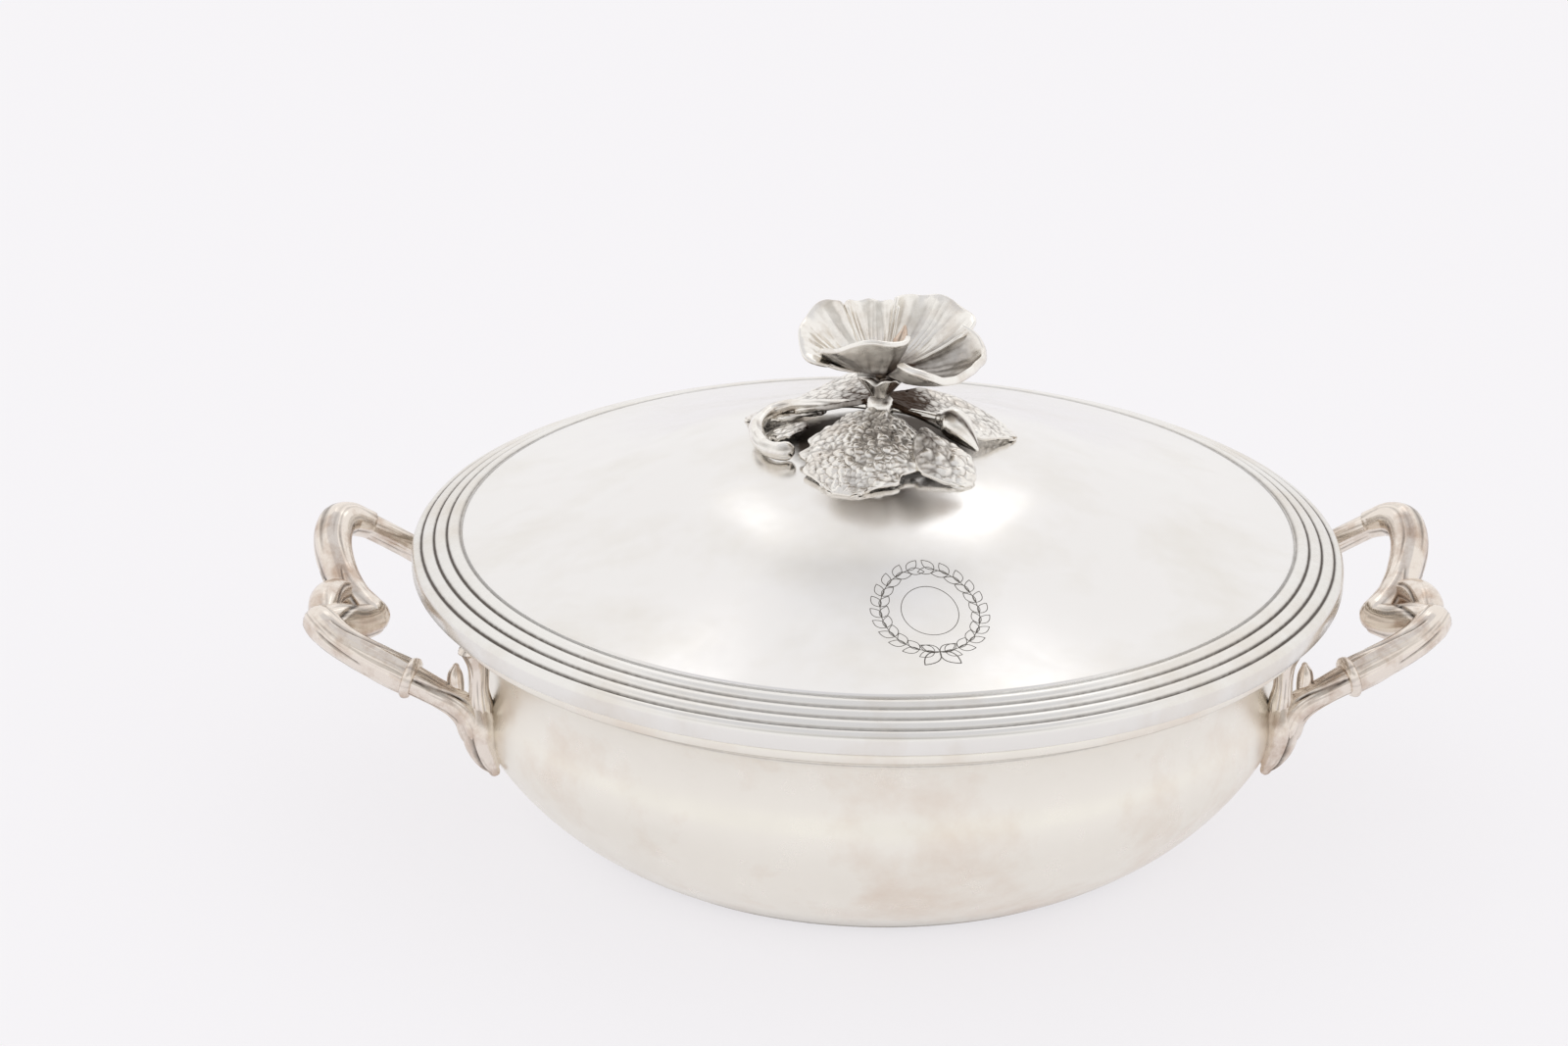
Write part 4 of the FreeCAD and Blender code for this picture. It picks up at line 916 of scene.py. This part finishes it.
# Leaves: six cast sheets that arch down from the stem and lie close over the cover.
# Their blistered skin and deep net of veins are part of the casting, black in the creases.
LEAF_WALL, LEAF_GAP, SKIN_SEED = 1.3, 0.4, 4
noise.seed_set(SKIN_SEED)
LEAF_FORM = (
    "turn", "start", "end", "half", "lift", "fall", "droop", "cell", "rough", "lobes",
    "tilt", "neck", "painted_shade",
)
LEAVES = {
    "leaf_front": (-109, 0.10, 0.96, 0.43, 1.1, 1.0, 0.65, 2.2, 0.95, (4, 0.07), 0, 0.2, (0.2, 0.4)),
    "leaf_right_front": (-52, 0.44, 0.95, 0.23, 0.95, 1.0, 0.5, 3.2, 0.95, (2, 0.05), 0, 0.05, (0.35, 0.5)),
    "leaf_right_back": (
        15, 0.07, 1.03, 0.28, 1.25, 0.85, 0.0, 2.3, 0.45, (3, 0.06), -0.25, 0.05, (1.6, 0.42)
    ),
    "leaf_back": (121, 0.07, 1.08, 0.33, 1.2, 0.55, -0.1, 2.4, 0.5, (4, 0.07), 0.4, 0.05, (0.7, 0.5)),
    "leaf_left": (143, 0.5, 1.16, 0.2, 0.45, 0.8, 0.0, 2.2, 0.5, (3, 0.07), 0, 0.05, (0.4, 0.4)),
    "leaf_inner": (168, 0.52, 0.83, 0.14, 0.3, 1.0, 0.2, 1.9, 0.5, (3, 0.08), 0, 0.05, (0.5, 0.4)),
}


def leaf_surface(leaf):
    middle = math.radians(leaf["turn"])
    lobes, lobe_depth = leaf["lobes"]

    def point_at(t, s):
        inside = min(max(t, 0), 1)
        lobe = 1 + lobe_depth * math.cos(2 * math.pi * lobes * inside) * abs(s) ** 3
        out = LEAF_REACH * (leaf["start"] + (leaf["end"] - leaf["start"]) * t)
        swell = math.sin(math.pi * (leaf["neck"] + (0.99 - leaf["neck"]) * inside ** 1.05))
        aside = LEAF_REACH * leaf["half"] * (0.04 + 0.96 * swell ** 0.65) * s * lobe
        radius = math.hypot(out, aside)
        arch = LEAF_RISE * leaf["lift"] * (1 - inside) ** leaf["fall"] * (1 - leaf["droop"] * s * s)
        arch = max(0.0, arch - leaf["tilt"] * LEAF_RISE * s * swell)
        rim_drop = 0.45 * max(0.0, (max(abs(s), inside) - 0.8) / 0.2)
        base = (LEAF_GAP + LEAF_WALL) * 1.1 - LEAF_WALL / 2 - rim_drop
        return Vector((
            out * math.cos(middle) - aside * math.sin(middle),
            out * math.sin(middle) + aside * math.cos(middle), crown_height(radius) + base + arch,
        ))

    def relief_at(t, s, here):
        warp = noise.noise_vector(here / (leaf["cell"] * 0.9)) * 0.45
        near = noise.voronoi(here / leaf["cell"] + warp)[0]
        blister = min(1.0, (near[1] - near[0]) / 0.55)
        wrinkle = abs(noise.noise(here / (leaf["cell"] * 0.42)))
        midrib = bell(s, 0.06) * (1 - t)
        crumple = 0.7 * noise.noise(here / 5.5)
        margin = 1 - max(0.0, (max(abs(s), t) - 0.88) / 0.12)
        rise = leaf["rough"] * (0.65 * blister + 0.5 * wrinkle - 0.5 + crumple) * margin - 0.3 * midrib
        crease = (1 - blister) ** 3 * margin
        # Painted shade darkens the leaf near the stem: how dark, and out to what share of its length.
        darkness, shaded = leaf["painted_shade"]
        grime = 0.57 * crease + 0.06 * (1 - wrinkle) + 0.3 * midrib - 0.2 * crumple
        return max(rise, -0.5), max(0.0, grime) + darkness * max(0.0, 1 - t / shaded)

    return point_at, relief_at


for name, form in LEAVES.items():
    leaf = dict(zip(LEAF_FORM, form))
    point_at, relief_at = leaf_surface(leaf)
    length = LEAF_REACH * (leaf["end"] - leaf["start"])
    width = LEAF_REACH * leaf["half"] * 2
    piece = sheet(
        name + "_cast", point_at, relief_at, LEAF_WALL,
        max(16, round(length / 0.42)), max(14, round(width / 0.42)), cast_silver,
    )
    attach(piece, "cover")
    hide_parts(name)

# Handles: two cast branches, alike but mirrored, each soldered to the belly by two forks.
# The plate has worn warm on the high places, and the bark's lines have stayed dark.
handle_silver = plated_silver(
    "cast_silver_plate_worn_warm", clean="EDE4DA", stain="BBA18D", dark="352A25", patch_mm=9,
    patch_share=0.85, rough=(0.13, 0.25), bump=(0.8, 0.02),
)
HANDLE_REACH, HANDLE_SPREAD, HANDLE_RISE, ROOT_HEIGHT = 35.3, 35.2, 26.0, 41.0
STALK_RADIUS, BRANCH_RADIUS = 3.5, 4.7


def handle_places(shares, radius=BRANCH_RADIUS, nearer=1):
    """Places from shares of the handle's reach, spread and rise and of its own radius."""
    return [
        (
            BULGE_RADIUS + x * HANDLE_REACH, nearer * y * HANDLE_SPREAD, ROOT_HEIGHT + z * HANDLE_RISE,
            r * radius,
        )
        for x, y, z, r in shares
    ]


def bark(seed, lines=2.6, height=0.16, grooves=()):
    """Relief of bark: ridges along the branch, and grooves that wind round it."""
    base = wrinkles(seed, lines, height, 0.75, 0.07)

    def relief(length, angle, share):
        rise, depth = base(length, angle, share)
        for start, twist, first, last, width, cut in grooves:
            if first <= share <= last:
                off = (angle - start - twist * (share - first) + math.pi) % (2 * math.pi) - math.pi
                fade = min(1.0, (share - first) / 0.06, (last - share) / 0.06)
                line = bell(off, width) * max(0.0, fade)
                rise -= cut * line
                depth += 0.6 * line
        return rise, depth

    return relief


far_shares = [
    (-0.09, 1.00, 0.02, 1.03), (0.11, 0.97, 0.24, 1.0), (0.34, 0.915, 0.49, 0.97),
    (0.57, 0.865, 0.71, 0.97), (0.80, 0.815, 0.912, 0.97),
]
branch_shares = [
    (0.74, 0.835, 0.868, 0.78), (0.80, 0.815, 0.912, 0.83), (0.905, 0.75, 0.985, 0.98),
    (0.985, 0.61, 1.0, 1.06),
    (1.0, 0.44, 0.87, 1.06), (0.94, 0.25, 0.67, 1.02), (0.835, 0.04, 0.54, 1.0), (0.68, -0.15, 0.45, 0.96),
]
knot_shares = [
    (0.68, -0.18, 0.43, 0.9), (0.80, -0.31, 0.46, 1.04), (0.92, -0.42, 0.54, 1.08),
    (1.01, -0.51, 0.59, 0.95),
]
loop_shares = [
    (0.86, 0.05, 0.58, 0.66), (0.95, -0.06, 0.635, 0.84), (1.0, -0.18, 0.655, 0.92),
    (1.02, -0.32, 0.65, 0.88), (1.02, -0.44, 0.63, 0.74),
]
near_shares = [
    (1.03, -0.53, 0.605, 0.95), (0.98, -0.60, 0.575, 0.98), (0.86, -0.70, 0.49, 0.93),
    (0.64, -0.80, 0.365, 0.95), (0.37, -0.897, 0.226, 1.02),
]
leg_shares = [
    (0.40, -0.89, 0.24, 0.84), (0.20, -0.95, 0.12, 0.76), (0.05, -0.985, 0.02, 0.8),
    (-0.05, -1.01, -0.10, 0.9), (-0.10, -1.04, -0.24, 0.95), (-0.14, -1.06, -0.36, 0.7),
]
root_shares = [
    (-0.15, 1.04, -0.16, 0.56), (-0.13, 1.01, 0.02, 0.66), (-0.12, 1.005, 0.20, 0.52),
    (-0.12, 1.015, 0.42, 0.56), (-0.09, 1.03, 0.60, 0.7), (-0.07, 1.04, 0.66, 0.8),
]
pad_shares = [
    (-0.12, 1.01, 0.0, 0.62), (-0.125, 1.03, -0.13, 0.88), (-0.14, 1.06, -0.28, 0.98),
    (-0.165, 1.08, -0.42, 0.86), (-0.20, 1.10, -0.54, 0.58), (-0.228, 1.11, -0.62, 0.28),
]
stub_shares = [
    (0.04, -0.94, 0.06, 0.4), (0.05, -0.92, 0.19, 0.46), (0.05, -0.905, 0.29, 0.38),
    (0.045, -0.90, 0.36, 0.16),
]
collar_shares = [
    (0.405, -0.887, 0.242, 1.04), (0.385, -0.893, 0.234, 1.15), (0.36, -0.902, 0.223, 1.15),
    (0.34, -0.908, 0.214, 1.02),
]


def into_bowl(height):
    """Castings end inside the bowl's wall, so nothing comes through it."""
    return side_radius(min(max(height, 1.0), 66.0)) - 0.5


def inner_leaf(length, angle, share):
    """Relief of a pad: a smooth leaf form inside a rim, with a groove between them."""
    off = (angle + math.pi) % (2 * math.pi) - math.pi
    half = math.sin(math.pi * min(1.0, max(0.0, share * 0.92 + 0.04))) ** 0.6
    line = bell(abs(off) - half, 0.13) if share > 0.12 else 0.0
    inside = 0.35 if abs(off) < half - 0.1 else 0.0
    rise, depth = wrinkles(9, 2.5, 0.1, 0.3)(length, angle, share)
    return rise + inside - 0.35 * line, depth + 0.6 * line


handle_parts = {
    "far_stalk": (
        handle_places(far_shares, STALK_RADIUS),
        bark(1, 4.0, 0.12, ((1.2, 0.8, 0.3, 0.95, 0.1, 0.35),)), (0.2, 0.2),
    ),
    "thick_branch": (
        handle_places(branch_shares),
        bark(
            2, 3.6, 0.12,
            (
                (0.1, 3.9, 0.36, 0.78, 0.085, 0.6), (2.6, -2.2, 0.62, 0.97, 0.08, 0.5),
                (4.4, 1.5, 0.2, 0.7, 0.08, 0.5), (1.6, 0.3, 0.02, 0.3, 0.05, 0.25),
            ),
        ),
        (0.12, 1.0),
    ),
    "knot_stem": (
        handle_places(knot_shares), bark(3, 3.2, 0.12, ((1.0, 2.2, 0.1, 0.95, 0.1, 0.45),)), (0.6, 0.6),
    ),
    "knot_end": (
        handle_places(loop_shares), bark(4, 2.4, 0.12, ((2.4, 0.8, 0.1, 0.9, 0.12, 0.35),)), (0.8, 0.8),
    ),
    "near_branch": (
        handle_places(near_shares),
        bark(
            5, 5.5, 0.24,
            (
                (1.5, 1.0, 0.12, 0.97, 0.08, 0.55), (0.5, -0.5, 0.1, 0.6, 0.07, 0.4),
                (3.6, 0.8, 0.1, 0.9, 0.08, 0.5),
            ),
        ),
        (1.0, 0.3),
    ),
    "collar": (handle_places(collar_shares), bark(6, 3.0, 0.02), (0.05, 0.05)),
    "near_leg": (
        handle_places(leg_shares),
        bark(7, 5.0, 0.24, ((1.4, 0.9, 0.05, 0.6, 0.1, 0.45), (0.2, 0.4, 0.1, 0.7, 0.09, 0.4))), (0.3, 0.6),
    ),
    "far_root": (handle_places(root_shares), bark(8, 4.0, 0.2), (0.9, 0.1)),
    "near_root": (handle_places(root_shares, nearer=-1), bark(10, 4.0, 0.2), (0.9, 0.1)),
    "far_pad": (handle_places(pad_shares), inner_leaf, (0.6, 1.3)),
    "near_pad": (handle_places(pad_shares, nearer=-1), inner_leaf, (0.6, 1.3)),
    "bud_stub": (handle_places(stub_shares), bark(11, 2.4, 0.14), (0.5, 1.0)),
}
outward = Vector((1, 0, 0))
for word, side in (("right", 1), ("left", -1)):
    for name, (places, relief, ends) in handle_parts.items():
        at_bowl = name.endswith(("root", "pad", "leg", "far_stalk"))
        piece = swept(
            "%s_%s_cast" % (word, name), places, handle_silver, relief,
            around=96, step=0.6, ends=ends, side=side, facing=outward,
            outside_of=into_bowl if at_bowl else None,
        )
        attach(piece, "dish")
        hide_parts("%s_%s" % (word, name))
